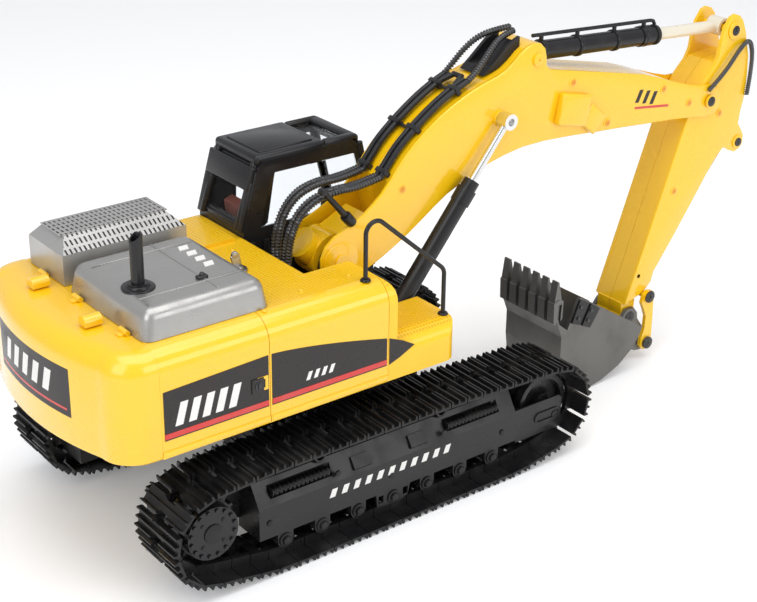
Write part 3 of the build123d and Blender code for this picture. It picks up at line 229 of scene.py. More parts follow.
ivory = finish("pale_rod", (0.80, 0.74, 0.60), rough=0.30, metallic=0.2, coat=0.4, dust=0.12,
               dust_color=(0.6, 0.52, 0.4))
orange_screw = finish("orange_screw", (0.80, 0.33, 0.01), rough=0.3, coat=0.3, dust=0.1, dust_color=(0.5, 0.2, 0.02))
red = finish("red_stripe", (0.62, 0.02, 0.015), rough=0.3, coat=0.4, dust=0.1)
decal = finish("dark_decal", (0.022, 0.018, 0.018), rough=0.28, coat=0.4, dust=0.15, dust_color=(0.09, 0.05, 0.045))
pale = finish("pale_mark", (0.80, 0.79, 0.76), rough=0.3, coat=0.3, dust=0.15)
seat_cover = finish("seat_moulding", (0.30, 0.07, 0.045), rough=0.55, dust=0.2, bump=0.25)
board_green = finish("board_lacquer", (0.01, 0.16, 0.05), rough=0.3, coat=0.5)
wrap_blue = finish("battery_wrap", (0.03, 0.08, 0.35), rough=0.3, coat=0.4)

clear = bpy.data.materials.new("clear_pane")
clear.use_nodes = True
pane = clear.node_tree.nodes["Principled BSDF"]
pane.inputs["Transmission Weight"].default_value = 1.0
pane.inputs["IOR"].default_value = 1.1
haze = clear.node_tree.nodes.new("ShaderNodeGroup")
haze.node_tree = WORN
haze.inputs["Color"].default_value = (0.93, 0.95, 0.96, 1)
haze.inputs["Roughness"].default_value = 0.03
haze.inputs["Dust"].default_value = 0.05
clear.node_tree.links.new(haze.outputs["Color"], pane.inputs["Base Color"])
clear.node_tree.links.new(haze.outputs["Roughness"], pane.inputs["Roughness"])

for dark in (black, track_black, cab_black, hose_black, decal):
    gloss = dark.node_tree.nodes["Principled BSDF"].inputs
    gloss["Specular IOR Level"].default_value = 0.32
    gloss["Coat Weight"].default_value = 0.08

hose_black.node_tree.nodes["Principled BSDF"].inputs["Specular IOR Level"].default_value = 0.8

FINISH_OF = {
    "track_shoes_right": track_black, "track_shoes_left": track_black, "track_links": track_black,
    "deck_plate": yellow_tread, "tool_box": yellow_tread, "engine_hood": gunmetal, "vent_hood": vent_metal,
    "cab_glass": clear, "cab_seat": seat_cover, "cab_shell": cab_black, "cab_console": black,
    "bucket_shell": bucket_metal, "bucket_teeth": bucket_metal, "side_cutters": black,
    "boom_cylinder_rods": chrome, "bucket_cylinder_rod": chrome, "stick_cylinder_rod": ivory,
    "boom_pins": yellow, "stick_pins": yellow, "hood_latch": brushed, "control_board": board_green,
    "battery_pack": wrap_blue, "deck_hoses": hose_black, "boom_hoses": hose_black,
    "exhaust_stack": black, "handrail": black, "hood_hinges": yellow,
}
YELLOW_NODES = ("counterweight engine_door_right side_panel_right side_panel_left boom_half_right boom_half_left "
                "boom_foot_casing stick_half_right stick_half_left rocker_arms bucket_link lifting_lugs").split()
for node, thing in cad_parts.items():
    chosen = FINISH_OF.get(node, yellow if node in YELLOW_NODES else black)
    thing.data.materials.clear()
    thing.data.materials.append(chosen)


# ------------------------------------------------------------------ shaping helpers

def put(name, bm, material, body, turn=32.0, stands_for=()):
    """Makes the finished piece from its mesh and lets it ride on a body."""
    bmesh.ops.remove_doubles(bm, verts=bm.verts, dist=1e-6)
    bmesh.ops.recalc_face_normals(bm, faces=bm.faces)
    mesh = bpy.data.meshes.new(name)
    bm.to_mesh(mesh)
    bm.free()
    for face in mesh.polygons:
        face.use_smooth = True
    mesh.set_sharp_from_angle(angle=radians(turn))
    mesh.materials.append(material)
    piece = bpy.data.objects.new(name, mesh)
    bpy.context.collection.objects.link(piece)
    if body:
        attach(piece, body)
    if stands_for:
        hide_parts(*stands_for)
    return piece


def soften(bm, edges, width, segments=2):
    bmesh.ops.bevel(bm, geom=edges, offset=width / 1000, offset_type="OFFSET", segments=segments, profile=0.5,
                    affect="EDGES", clamp_overlap=True, material=-1)


def bar(bm, start, end, radius, end_radius=None, sides=24, edge=0.0):
    """A round bar between two machine points, with its rims eased."""
    a, b = at(*start), at(*end)
    turn = (b - a).to_track_quat("Z", "Y").to_matrix().to_4x4()
    end_radius = radius if end_radius is None else end_radius
    made = bmesh.ops.create_cone(bm, cap_ends=True, segments=sides, radius1=radius / 1000,
                                 radius2=end_radius / 1000, depth=(b - a).length,
                                 matrix=Matrix.Translation((a + b) / 2) @ turn)
    if edge:
        rims = {e for v in made["verts"] for e in v.link_edges if len(e.link_faces) == 2
                and max(len(f.verts) for f in e.link_faces) > 4}
        soften(bm, list(rims), edge)
    return made


def bar_y(bm, x, z, y0, y1, radius, sides=24, edge=0.0):
    """A round bar that lies across the machine."""
    return bar(bm, (x, y0, z), (x, y1, z), radius, None, sides, edge)


def block(bm, x0, x1, y0, y1, z0, z1, edge=0.6, segments=2, lean=0.0):
    """A box with eased edges; lean turns it about Y through its middle, in degrees."""
    size = Matrix.Diagonal(((x1 - x0) / 1000, (y1 - y0) / 1000, (z1 - z0) / 1000, 1.0))
    middle = Matrix.Translation(at((x0 + x1) / 2, (y0 + y1) / 2, (z0 + z1) / 2))
    made = bmesh.ops.create_cube(bm, size=1.0, matrix=middle @ Matrix.Rotation(radians(-lean), 4, "Y") @ size)
    if edge:
        soften(bm, list({e for v in made["verts"] for e in v.link_edges}), edge, segments)


def plate(bm, outline, y0, y1, edge=0.0, segments=2):
    """An (x, z) outline given a thickness across the machine."""
    ring = [bm.verts.new(at(x, y0, z)) for x, z in outline]
    face = bm.faces.new(ring)
    grown = bmesh.ops.extrude_face_region(bm, geom=[face])
    moved = [g for g in grown["geom"] if isinstance(g, bmesh.types.BMVert)]
    bmesh.ops.translate(bm, verts=moved, vec=Vector((0, (y1 - y0) / 1000, 0)))
    if edge:
        rim = {e for g in moved for e in g.link_edges if all(v in moved for v in e.verts)}
        rim |= {e for v in ring for e in v.link_edges if all(w in ring for w in e.verts)}
        soften(bm, list(rim), edge, segments)


def plan_bar(bm, outline, z0, z1):
    """An (x, y) outline given a height."""
    ring = [bm.verts.new(at(x, y, z0)) for x, y in outline]
    grown = bmesh.ops.extrude_face_region(bm, geom=[bm.faces.new(ring)])
    moved = [g for g in grown["geom"] if isinstance(g, bmesh.types.BMVert)]
    bmesh.ops.translate(bm, verts=moved, vec=Vector((0, 0, (z1 - z0) / 1000)))


def slanted_bars(bm, start, pitch, count, wide, slant, low, high, skin):
    """A row of plain slanted bars on a side face."""
    for i in range(count):
        x = start + pitch * i
        plate(bm, [(x, low), (x + wide, low), (x + wide + slant, high), (x + slant, high)], *skin)


def rim_of_face(bm, y):
    """The edges that lie wholly in the plane at one distance across the machine."""
    return [e for e in bm.edges if all(abs(v.co.y - y / 1000) < 1e-5 for v in e.verts)]


def smooth_line(points, spacing):
    """Points along the smooth spline that a flexible route makes."""
    curve = bpy.data.curves.new("route", "CURVE")
    curve.dimensions = "3D"
    spline = curve.splines.new("NURBS")
    spline.points.add(len(points) - 1)
    for point, place in zip(spline.points, points):
        point.co = (*at(*place), 1.0)
    spline.order_u = 3
    spline.use_endpoint_u = True
    spline.resolution_u = 12
    holder = bpy.data.objects.new("route", curve)
    mesh = bpy.data.meshes.new_from_object(holder)
    line = [v.co.copy() for v in mesh.vertices]
    bpy.data.meshes.remove(mesh)
    bpy.data.objects.remove(holder)
    bpy.data.curves.remove(curve)
    step, left, even = spacing / 1000, 0.0, [line[0]]
    for a, b in zip(line, line[1:]):
        run = (b - a).length
        while left + run >= step:
            part = (step - left) / run
            a = a.lerp(b, part)
            even.append(a.copy())
            run, left = (b - a).length, 0.0
        left += run
    return even


def sleeve(bm, points, radius, pitch=0.0, depth=0.0, sides=12):
    """A tube along a route; with a pitch it is corrugated."""
    line = smooth_line(points, pitch / 4 if pitch else 3.0)
    loops = []
    for i, place in enumerate(line):
        ahead = line[min(i + 1, len(line) - 1)] - line[max(i - 1, 0)]
        turn = ahead.to_track_quat("Z", "Y").to_matrix().to_4x4()
        wide = radius if not pitch or i % 4 in (0, 1) else radius - depth
        made = bmesh.ops.create_circle(bm, cap_ends=i in (0, len(line) - 1), segments=sides, radius=wide / 1000,
                                       matrix=Matrix.Translation(place) @ turn)
        loops.append([e for v in made["verts"] for e in v.link_edges])
    for first, second in zip(loops, loops[1:]):
        bmesh.ops.bridge_loops(bm, edges=list(set(first) | set(second)))


def cross_screw(bm, x, z, y, radius, out=-1.0, proud=1.0):
    """A domed screw head with a cross recess that faces along Y."""
    bar_y(bm, x, z, y, y + out * proud, radius, 20, 0.35)
    for lean in (20.0, 110.0):
        size = Matrix.Diagonal((radius * 1.15 / 1000, 0.0003, radius * 0.24 / 1000, 1.0))
        place = Matrix.Translation(at(x, y + out * (proud + 0.02), z)) @ Matrix.Rotation(radians(lean), 4, "Y")
        bmesh.ops.create_cube(bm, size=1.0, matrix=place @ size)


# ------------------------------------------------------------------ hoses and pipes

PIPE_Y = (-22.0, -17.6, -4.6, 0.0)
PIPE_LIFT = 4.9         # pipe centres above the boom's back
HOSE_RIBS = (2.0, 0.65)     # pitch and depth of the corrugation
BOOM_BACK = [(31, 178), (42.7, 189), (53.3, 202.5), (70, 215.5), (87.3, 226.5), (104, 234), (120.5, 239), (136, 243)]


def back_height(x):
    """Height of the boom's back edge."""
    for (x0, z0), (x1, z1) in zip(BOOM_BACK, BOOM_BACK[1:]):
        if x0 <= x <= x1:
            return z0 + (z1 - z0) * (x - x0) / (x1 - x0)
    return BOOM_BACK[-1][1]


def make_hoses():
    """Deck hoses, the pipes up the boom's back and the hoses at its two cylinders."""
    bm = bmesh.new()
    for i, y in enumerate(PIPE_Y):
        x0, y0 = -25.6 + 0.6 * (i % 2), -17.0 + 5.0 * i
        sleeve(bm, [(x0, y0, 100), (x0, y0, 120), (x0, y0, 138), (x0 + 1.5, y0 + (y - y0) * 0.3, 168),
                    (x0 + 13, y0 + (y - y0) * 0.6, 185), (6, y, 190), (24, y, 188.8),
                    (39.5, y, back_height(39.5) + 5.4)], 2.15, *HOSE_RIBS)
    deck = put("deck_hose_sleeves", bm, hose_black, None, 50, ["deck_hoses"])
    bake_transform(deck)
    bm = bmesh.new()
    for y in PIPE_Y:
        sleeve(bm, [(x, y, back_height(x) + PIPE_LIFT) for x in (39.5, 46, 52, 59, 66, 75, 84, 92, 100, 107.5)], 1.8)
    # clips round each pair of pipes, and the bridges between the pairs
    for x in (43.0, 66.0, 97.0):
        for y0, y1 in ((-24.6, -15.0), (-7.2, 2.6)):
            z = back_height(x) + 4.4
            block(bm, x - 1.6, x + 1.6, y0, y1, z - 2.9, z + 2.5, 0.5, lean=42.0 if x < 80 else 28.0)
    for x in (66.0, 97.0):
        z = back_height(x) + 3.2
        block(bm, x - 0.9, x + 0.9, -15.2, -7.0, z - 1.2, z + 1.2, 0.3, lean=34.0)
    # the inner pipes turn in and meet in a cross piece
    low, high = back_height(99) + 5, back_height(107) + 5.6
    for a, b in (((99, -17.6, low), (107, -14.5, high)), ((99, -4.6, low), (107, -8, high)),
                 ((107, -15.5, high), (107, -7, high))):
        bar(bm, a, b, 1.7, None, 16)
    put("boom_pipe_run", bm, black, "boom", 40, ["boom_pipes"])
    bm = bmesh.new()
    sleeve(bm, [(106, -22, back_height(106) + 5), (113, -21, 243), (121, -19, 248.5), (130, -16, 254.5),
                (139, -14, 260.5), (150, -13.5, 262.6)], 2.1, *HOSE_RIBS)
    sleeve(bm, [(106, 0, back_height(106) + 5), (112, -0.5, 245), (119, -1.2, 252), (128, -2.5, 258.5),
                (139, -4.5, 262), (154, -6, 262.8)], 2.1, *HOSE_RIBS)
    put("boom_hose_sleeves", bm, hose_black, "boom", 50, ["boom_hoses"])
    bm = bmesh.new()
    sleeve(bm, [(322, -29.0, 196), (336, -29.6, 206), (350, -29.0, 221), (362, -27.0, 226), (368, -26.0, 215),
                (368.2, -26.0, 198), (366, -26.5, 184)], 1.7, 1.6, 0.4)
    put("stick_head_hose", bm, hose_black, "stick", 50)


def make_stick_cylinder():
    """Thin return pipe on clips along the stick cylinder, and its bands."""
    foot, head = Vector((158.8, 245.5)), Vector((347.0, 233.8))
    line = (head - foot).normalized()
    side = Vector((-line.y, line.x))

    def spot(run, lift):
        """A point at a run from the foot pin and a lift above the centre line."""
        p = foot + line * run + side * lift
        return (p.x, BOOM_Y, p.y)

    bm = bmesh.new()
    for run in (18, 50, 84, 112):
        bar(bm, spot(run - 1.6, 0), spot(run + 1.6, 0), 7.2, None, 32, 0.4)
        bar(bm, spot(run, 6), spot(run, 10.4), 1.5, None, 12, 0.3)
    bar(bm, spot(10, 10.2), spot(118, 10.2), 1.25, None, 14)
    sleeve(bm, [spot(118, 10.2), spot(121, 10.0), spot(123, 8.0), spot(122, 5.5)], 1.25)
    bar(bm, spot(121.5, 0), spot(124.2, 0), 7.0, None, 32, 0.5)
    put("stick_cylinder_pipework", bm, black, "stick_barrel", 40)
    bm = bmesh.new()
    cross_screw(bm, 158.8, 245.5, -28.2, 3.4)
    put("lug_screw", bm, yellow, "boom", 40)


# ------------------------------------------------------------------ boom and stick skins

BOOM_OUTLINE = [
    (31, 178), (37, 183), (42.7, 189.2), (48, 196), (54, 202.8), (62, 210), (70, 216), (79, 222),
    (88, 227), (97, 231.2), (106, 234.8), (116, 237.8), (126, 240.3), (133, 243), (139, 247),
    (144.5, 251.8), (150, 255), (156, 256.3), (161.5, 255.3), (165.3, 251.5), (166.8, 246), (167.2, 240.5),
    (170, 237.3), (176, 235.7), (195, 231.7), (215, 227.5), (236, 223), (257, 218.5), (272, 213.7),
    (284, 209.3), (303, 203), (315, 199.8), (326, 199.4), (333.5, 196), (337.6, 189), (336.2, 181),
    (330, 176.6), (321, 176.2), (308, 178.4), (290, 180.4), (265, 182.5), (240, 184.6), (217, 186.2),
    (193, 188.2), (169, 189.6), (150, 189.3), (135, 187.1), (121, 183.9), (110, 180.3), (101, 176.7),
    (88, 171), (78, 165), (69, 159), (58, 152), (47, 146), (38, 141.5), (30, 138), (21, 135), (13, 133.2),
    (4, 133.4), (-3, 136.5), (-7.5, 143), (-8, 151), (-4.5, 158.5), (2, 163.5), (14, 168.5), (24, 173)]
BOOM_SCREWS = ((191, 225, 3.5), (225, 191, 3.5), (277, 205, 3.5), (52, 183, 3.3), (304, 190, 3.3))


def make_boom():
    """Two half shells with eased outer rims, their screws, the side box and the lamp lever."""
    for name, side in (("right", -1), ("left", 1)):
        bm = bmesh.new()
        face = BOOM_Y + side * BOOM_HALF
        plate(bm, BOOM_OUTLINE, face - side * 2.0, face, 0.0)
        rim = [(x, z) for x, z in BOOM_OUTLINE if 38 < x < 300 and z > 141]
        plate(bm, rim, BOOM_Y + side * 0.12, face - side * 1.4, 0.0)
        soften(bm, rim_of_face(bm, face), 1.1, 3)
        put("boom_skin_" + name, bm, yellow, "boom", 28, ["boom_half_" + name])
    bm = bmesh.new()
    for side in BOTH_SIDES:
        face = BOOM_Y + side * BOOM_HALF
        bar_y(bm, 6, 147, face, face + side * 0.8, 12.5, 40, 0.4)
        bar_y(bm, 129, 213, face - side, face + side * 2.0, 5.4, 28, 0.4)
        for x, z, collar in BOOM_SCREWS:
            bar_y(bm, x, z, face - side * 0.4, face + side * 0.35, collar, 24, 0.2)
    put("boom_bosses", bm, yellow, "boom", 40)
    bm = bmesh.new()
    for x, z, _ in BOOM_SCREWS:
        cross_screw(bm, x, z, BOOM_Y - BOOM_HALF - 0.2, 2.2, -1.0, 0.5)
        cross_screw(bm, x, z, BOOM_Y + BOOM_HALF + 0.2, 2.2, 1.0, 0.5)
    put("boom_screws", bm, orange_screw, "boom", 40)
    bm = bmesh.new()
    bar(bm, (-5, -26.4, 193), (13, -26.4, 172), 1.7, 2.3, 18, 0.4)
    bar(bm, (10, -26.4, 175.4), (15.4, -26.4, 169.2), 3.5, 3.3, 20, 0.6)
    bar(bm, (-6.4, -24.0, 194), (-6.4, -29.0, 194), 2.0, None, 16, 0.4)
    put("boom_lamp_lever", bm, black, "boom", 35)
    bm = bmesh.new()
    block(bm, 177, 203, -33.0, -27.0, 197, 218, 1.6, 3, lean=-12)
    block(bm, 199, 216, -32.0, -27.0, 190.5, 206, 1.4, 3, lean=-40)
    put("boom_side_box", bm, yellow, "boom", 35)
    bm = bmesh.new()
    for x in (250.0, 257.0, 264.0):
        z = 204.0 - (x - 250) * 0.25
        plate(bm, [(x, z - 4), (x + 3.4, z - 4.3), (x + 7.4, z + 4), (x + 4, z + 4.4)], -27.62, -27.5)
    put("boom_marks", bm, decal, "boom", 40)
    bm = bmesh.new()
    plate(bm, [(250, 195.6), (283, 191.4), (283.3, 193.0), (250.3, 197.2)], -27.62, -27.5)
    put("boom_mark_line", bm, red, "boom", 40)


STICK_OUTLINE = [
    (343, 243.6), (347.5, 245), (352, 243.4), (356, 239.5), (359.6, 232), (362.5, 223), (365.3, 213),
    (366.3, 202), (366.5, 192), (365.6, 180), (363.5, 172), (362.6, 163), (366, 158.5), (369.3, 153.5),
    (369.8, 148), (366.8, 143.2), (361.5, 141.4), (355, 144), (349, 147.5), (343, 142), (336, 133.5),
    (322, 113.4), (306, 91), (291, 71), (287.2, 66), (285.2, 58.6), (278, 52), (273, 44), (271.3, 34.5),
    (268, 30.6), (264, 29.8), (260.6, 31.8), (258.7, 36), (258.7, 42), (259.8, 47), (275, 88.7),
    (290, 130), (305.3, 172), (312, 188), (321, 201), (330, 210), (333.6, 217), (334.8, 226), (337.5, 236)]
STICK_SIDE_SCREWS = ((340, 175), (300, 125))


def make_stick():
    """Two half shells, and the screws of the stick, the link and the bucket."""
    for name, side in (("right", -1), ("left", 1)):
        bm = bmesh.new()
        face = BOOM_Y + side * STICK_HALF
        plate(bm, [p for p in STICK_OUTLINE if p[1] > 45.6], face - side * 3.0, face, 0.0)
        soften(bm, rim_of_face(bm, face), 1.0, 3)
        box_line = [(288, 80), (300, 93), (328, 134), (352, 168), (360, 181), (361.5, 192), (359, 214), (345, 214),
                    (333, 212.6), (321, 200.8), (312, 187.8), (305.3, 171.8), (290, 130), (272.2, 80)]
        plate(bm, box_line, BOOM_Y + side * 0.12, face - side * 2.6, 0.0)
        back_wall = [(259.8, 46.5), (273, 82), (275.5, 82), (262.5, 46.5)]
        plate(bm, back_wall, BOOM_Y + side * 0.12, face - side * 2.6, 0.0)
        eye = (BOOM_Y + side * 0.1, BOOM_Y + side * 11.8)
        bar_y(bm, 265.5, 36, *eye, 6.8, 32, 0.5)
        block(bm, 259.2, 272.8, *sorted(eye), 38, 47.4, 0.4)
        put("stick_skin_" + name, bm, yellow, "stick", 28, ["stick_half_" + name])
    bm = bmesh.new()
    for side in BOTH_SIDES:
        face = BOOM_Y + side * STICK_HALF
        bar_y(bm, 347, 233.8, face, face + side * 1.2, 6.2, 28, 0.4)
        bar_y(bm, 363, 149, face, face + side * 0.8, 5.2, 28, 0.3)
    for x, z in STICK_SIDE_SCREWS:
        bar_y(bm, x, z, -25.0, -25.4, 3.2, 24, 0.2)
    put("stick_bosses", bm, yellow, "stick", 40)
    bm = bmesh.new()
    cross_screw(bm, 347, 233.8, -26.0, 3.6)
    cross_screw(bm, 363, 149, -25.7, 3.2)
    cross_screw(bm, 325, 187.5, -29.6, 3.6, -1.0, 0.5)
    put("stick_screws", bm, dark_screw, "stick", 40)
    bm = bmesh.new()
    for x, z in STICK_SIDE_SCREWS:
        cross_screw(bm, x, z, -25.3, 2.1, -1.0, 0.4)
    put("stick_side_screws", bm, orange_screw, "stick", 40)
    bm = bmesh.new()
    cross_screw(bm, 280.0, 49.8, -29.4, 4.6, -1.0, 1.0)
    put("link_screw", bm, dark_screw, "link", 40)
    bm = bmesh.new()
    cross_screw(bm, 281.8, 12.6, -29.6, 4.6, -1.0, 1.0)
    cross_screw(bm, 265.5, 36.0, -25.0, 4.4, -1.0, 0.8)
    for x, z in ((200.4, 67.5), (198.5, 59.5), (210.5, 62.5), (208.0, 55.5)):
        for y, out in ((-39.7, -1.0), (19.7, 1.0)):
            bar_y(bm, x, z, y, y + out * 0.9, 1.5, 6, 0.2)
    put("bucket_screws", bm, dark_screw, "bucket", 40)


# ------------------------------------------------------------------ house

def side_decal():
    """Dark band with a red line low on the right side, in two pieces either side of the door seam."""
    def height(x):
        """Upper edge of the band: nearly level behind the seam, then falling to the front."""
        if x < DOOR_SEAM_X:
            return 131.0 + 2.5 * (x + 150) / 68
        return 133.5 - 14.2 * ((x - DOOR_SEAM_X) / 82) ** 1.4

    for name, x0, x1 in (("door", -149.5, -83.0), ("panel", -80.8, -0.6)):
        bm = bmesh.new()
        count = int((x1 - x0) / 3.0)
        xs = [x0 + (x1 - x0) * i / count for i in range(count + 1)]
        plate(bm, [(x0, 101.8), (x1, 101.8)] + [(x, height(x)) for x in reversed(xs)], *BAND_SKIN)
        put("side_band_" + name, bm, decal, "house", 30)
        bm = bmesh.new()
        plate(bm, [(x0, 102.6), (x1, 102.6), (x1, 105.8), (x0, 105.8)], *MARK_SKIN)
        put("side_line_" + name, bm, red, "house", 30)
    bm = bmesh.new()
    plate(bm, [(1.2, 101.8), (9.0, 104.6), (20.0, 109.8), (11.0, 115.0), (1.2, 119.0)], *BAND_SKIN)
    put("side_band_tip", bm, decal, "house", 30)
    bm = bmesh.new()
    slanted_bars(bm, -143.0, 8.4, 5, 4.8, 3.8, 109.0, 122.5, MARK_SKIN)
    put("side_chevrons", bm, pale, "house", 30)
    bm = bmesh.new()
    slanted_bars(bm, -58.0, 5.2, 4, 2.6, 2.0, 110.0, 115.0, MARK_SKIN)
    put("side_small_chevrons", bm, pale, "house", 30)
    bm = bmesh.new()
    block(bm, -94.5, -86.5, -83.1, -81.6, 112.6, 121.4, 0.5)
    put("door_latch_frame", bm, decal, "house", 30)
    bm = bmesh.new()
    bar_y(bm, -90.5, 117.0, -83.0, -83.6, 2.2, 20, 0.2)
    block(bm, -91.0, -90.0, -84.2, -83.4, 115.3, 118.7, 0.15)
    put("door_latch_knob", bm, dark_screw, "house", 30)


def rear_decal():
    """Dark panel on the bowed back, with a red line and plain pale bars."""
    def slab(name, y0, y1, z0, z1, proud, material, slant=0.0, steps=14):
        """A thin skin that follows the bow, its upper edge moved sideways by the slant."""
        bm = bmesh.new()
        rows = []
        for i in range(steps + 1):
            y = y0 + (y1 - y0) * i / steps
            x = rear_x(y) - proud
            rows.append([bm.verts.new(at(x, y, z0)), bm.verts.new(at(rear_x(y + slant) - proud, y + slant, z1))])
        for a, b in zip(rows, rows[1:]):
            bm.faces.new((a[0], b[0], b[1], a[1]))
        bmesh.ops.solidify(bm, geom=bm.faces[:], thickness=-0.00005)
        put(name, bm, material, "house", 30)

    slab("rear_panel", -41, 41, 108.5, 138.0, 0.04, decal)
    slab("rear_line", -38, 38, 112.0, 113.4, 0.09, red)
    for i in range(5):
        slab("rear_bar_%d" % i, 30.0 - 11.5 * i, 24.0 - 11.5 * i, 118.0, 132.0, 0.09, pale, -4.0, 4)


def make_counterweight():
    """Rear casting with a bowed back and a full round along its top."""
    bm = bmesh.new()
    corner = [(-156 - 21 * sin(radians(t)), -62 - 20 * cos(radians(t))) for t in range(0, 90, 9)]
    bow = [(rear_x(y), y) for y in range(-60, 61, 6)]
    plan = [(SEAM_X, -82.0)] + corner + [(-177.0, -62.0)] + bow + [(-177.0, 62.0)]
    plan += [(x, -y) for x, y in reversed(corner)] + [(SEAM_X, 82.0)]
    plan_bar(bm, plan, 91.0, 154.0)
    behind = at(SEAM_X - 0.1, 0, 0).x
    top = [e for e in bm.edges if all(v.co.z > 0.1535 for v in e.verts) and any(v.co.x < behind for v in e.verts)]
    soften(bm, top, 13.0, 8)
    foot = [e for e in bm.edges if all(v.co.z < 0.0912 for v in e.verts) and any(v.co.x < behind for v in e.verts)]
    soften(bm, foot, 1.2, 3)
    put("counterweight_casting", bm, yellow, "house", 40, ["counterweight"])


def rear_x(y):
    """The bowed back of the counterweight at a distance from its middle."""
    radius = 188.3
    return -187.32 + radius - (radius ** 2 - y ** 2) ** 0.5


def make_engine_hood():
    """Thin pressed lid with full round edges, open underneath."""
    bm = bmesh.new()
    middle = at(-110.95, -25.1, 162.8)
    size = Matrix.Diagonal((0.0799, 0.0862, 0.0170, 1.0))
    made = bmesh.ops.create_cube(bm, size=1.0, matrix=Matrix.Translation(middle) @ size)
    top = [v for v in made["verts"] if v.co.z > 0.163]
    bmesh.ops.scale(bm, verts=top, vec=(0.93, 0.945, 1.0), space=Matrix.Translation(-middle))
    soften(bm, [e for e in bm.edges if any(v.co.z > 0.163 for v in e.verts)], 6.2, 6)
    underside = [f for f in bm.faces if all(v.co.z < 0.1545 for v in f.verts)]
    bmesh.ops.delete(bm, geom=underside, context="FACES_ONLY")
    bmesh.ops.recalc_face_normals(bm, faces=bm.faces)
    bmesh.ops.solidify(bm, geom=bm.faces[:], thickness=0.0016)
    put("engine_hood_pressing", bm, gunmetal, "near_hood", 35, ["engine_hood"])
    bm = bmesh.new()
    bar(bm, (-60, -16, 154.1), (-60, -16, 155.6), 6.6, 6.2, 36, 0.4)
    bar(bm, (-60, -16, 155.6), (-60, -16, 157.4), 4.4, 3.6, 32, 0.5)
    block(bm, -63.4, -57.4, -16.7, -15.3, 156.6, 164.6, 0.6, 3, 14)
    bar_y(bm, -61.2, 164.4, -17.0, -15.0, 2.2, 24, 0.4)
    put("latch_lever", bm, brushed, "latch", 35, ["hood_latch"])


def make_house():
    """Ribs, flange, catch and bars on the lids, hinge leaves, deck screws and rail feet."""
    bm = bmesh.new()
    for y in (-50.0, 2.0):
        block(bm, -143.5, -79.0, y - 0.7, y + 0.7, 170.8, 172.0, 0.4)
    block(bm, -101.2, -99.8, -61.0, 11.0, 170.9, 171.7, 0.3)
    put("hood_ribs", bm, gunmetal, "near_hood", 40)
    bm = bmesh.new()
    bar(bm, (-135.5, -36, 171.2), (-135.5, -36, 173.4), 7.2, 6.2, 28, 0.4)
    bar(bm, (-135.5, -36, 171.2), (-135.5, -36, 172.2), 9.6, 9.2, 32, 0.3)
    put("exhaust_flange", bm, black, "near_hood", 40)
    bm = bmesh.new()
    block(bm, -104.5, -98.0, -47.5, -43.5, 171.2, 173.0, 0.6)
    bar(bm, (-101.2, -45.5, 172.4), (-101.2, -45.5, 174.6), 1.7, 1.2, 16, 0.3)
    put("hood_catch", bm, dark_screw, "near_hood", 40)
    bm = bmesh.new()
    for i in range(4):
        y = -34.0 + 9.0 * i
        plan_bar(bm, [(-92, y), (-86, y), (-84, y + 5.4), (-90, y + 5.4)], 171.25, 171.6)
    put("hood_bars", bm, pale, "near_hood", 40)
    bm = bmesh.new()
    block(bm, -145.5, -75.5, 33.5, 58.5, 179.4, 180.1, 0.5)
    put("vent_top_plate", bm, vent_metal, "far_hood", 40)
    bm = bmesh.new()
    for x0, x1 in ((-149.5, -83.0), (-80.9, -0.5)):
        block(bm, x0, x1, -82.9, -82.0, 91.5, 95.0, 0.3)
    put("side_skirt_rail", bm, yellow, "house", 40)
    bm = bmesh.new()
    for y in (-50.0, 2.0, 43.0):
        block(bm, -157.5, -152.5, y - 2.6, y + 2.6, 153.7, 155.2, 0.6)
    for x, y in ((-77.5, -70.5), (-46, -60.5), (-46, 10), (-12, -60)):
        bar(bm, (x, y, 153.8), (x, y, 155.0), 1.5, 1.1, 16, 0.2)
    put("hinge_leaves", bm, yellow, "house", 40)
    bm = bmesh.new()
    for x, z in ((-8.0, 154.0), (50.8, 116.5)):
        bar(bm, (x, -70.6, z), (x, -70.6, z + 1.4), 3.4, 2.6, 20, 0.3)
    put("rail_feet", bm, black, "house", 40)


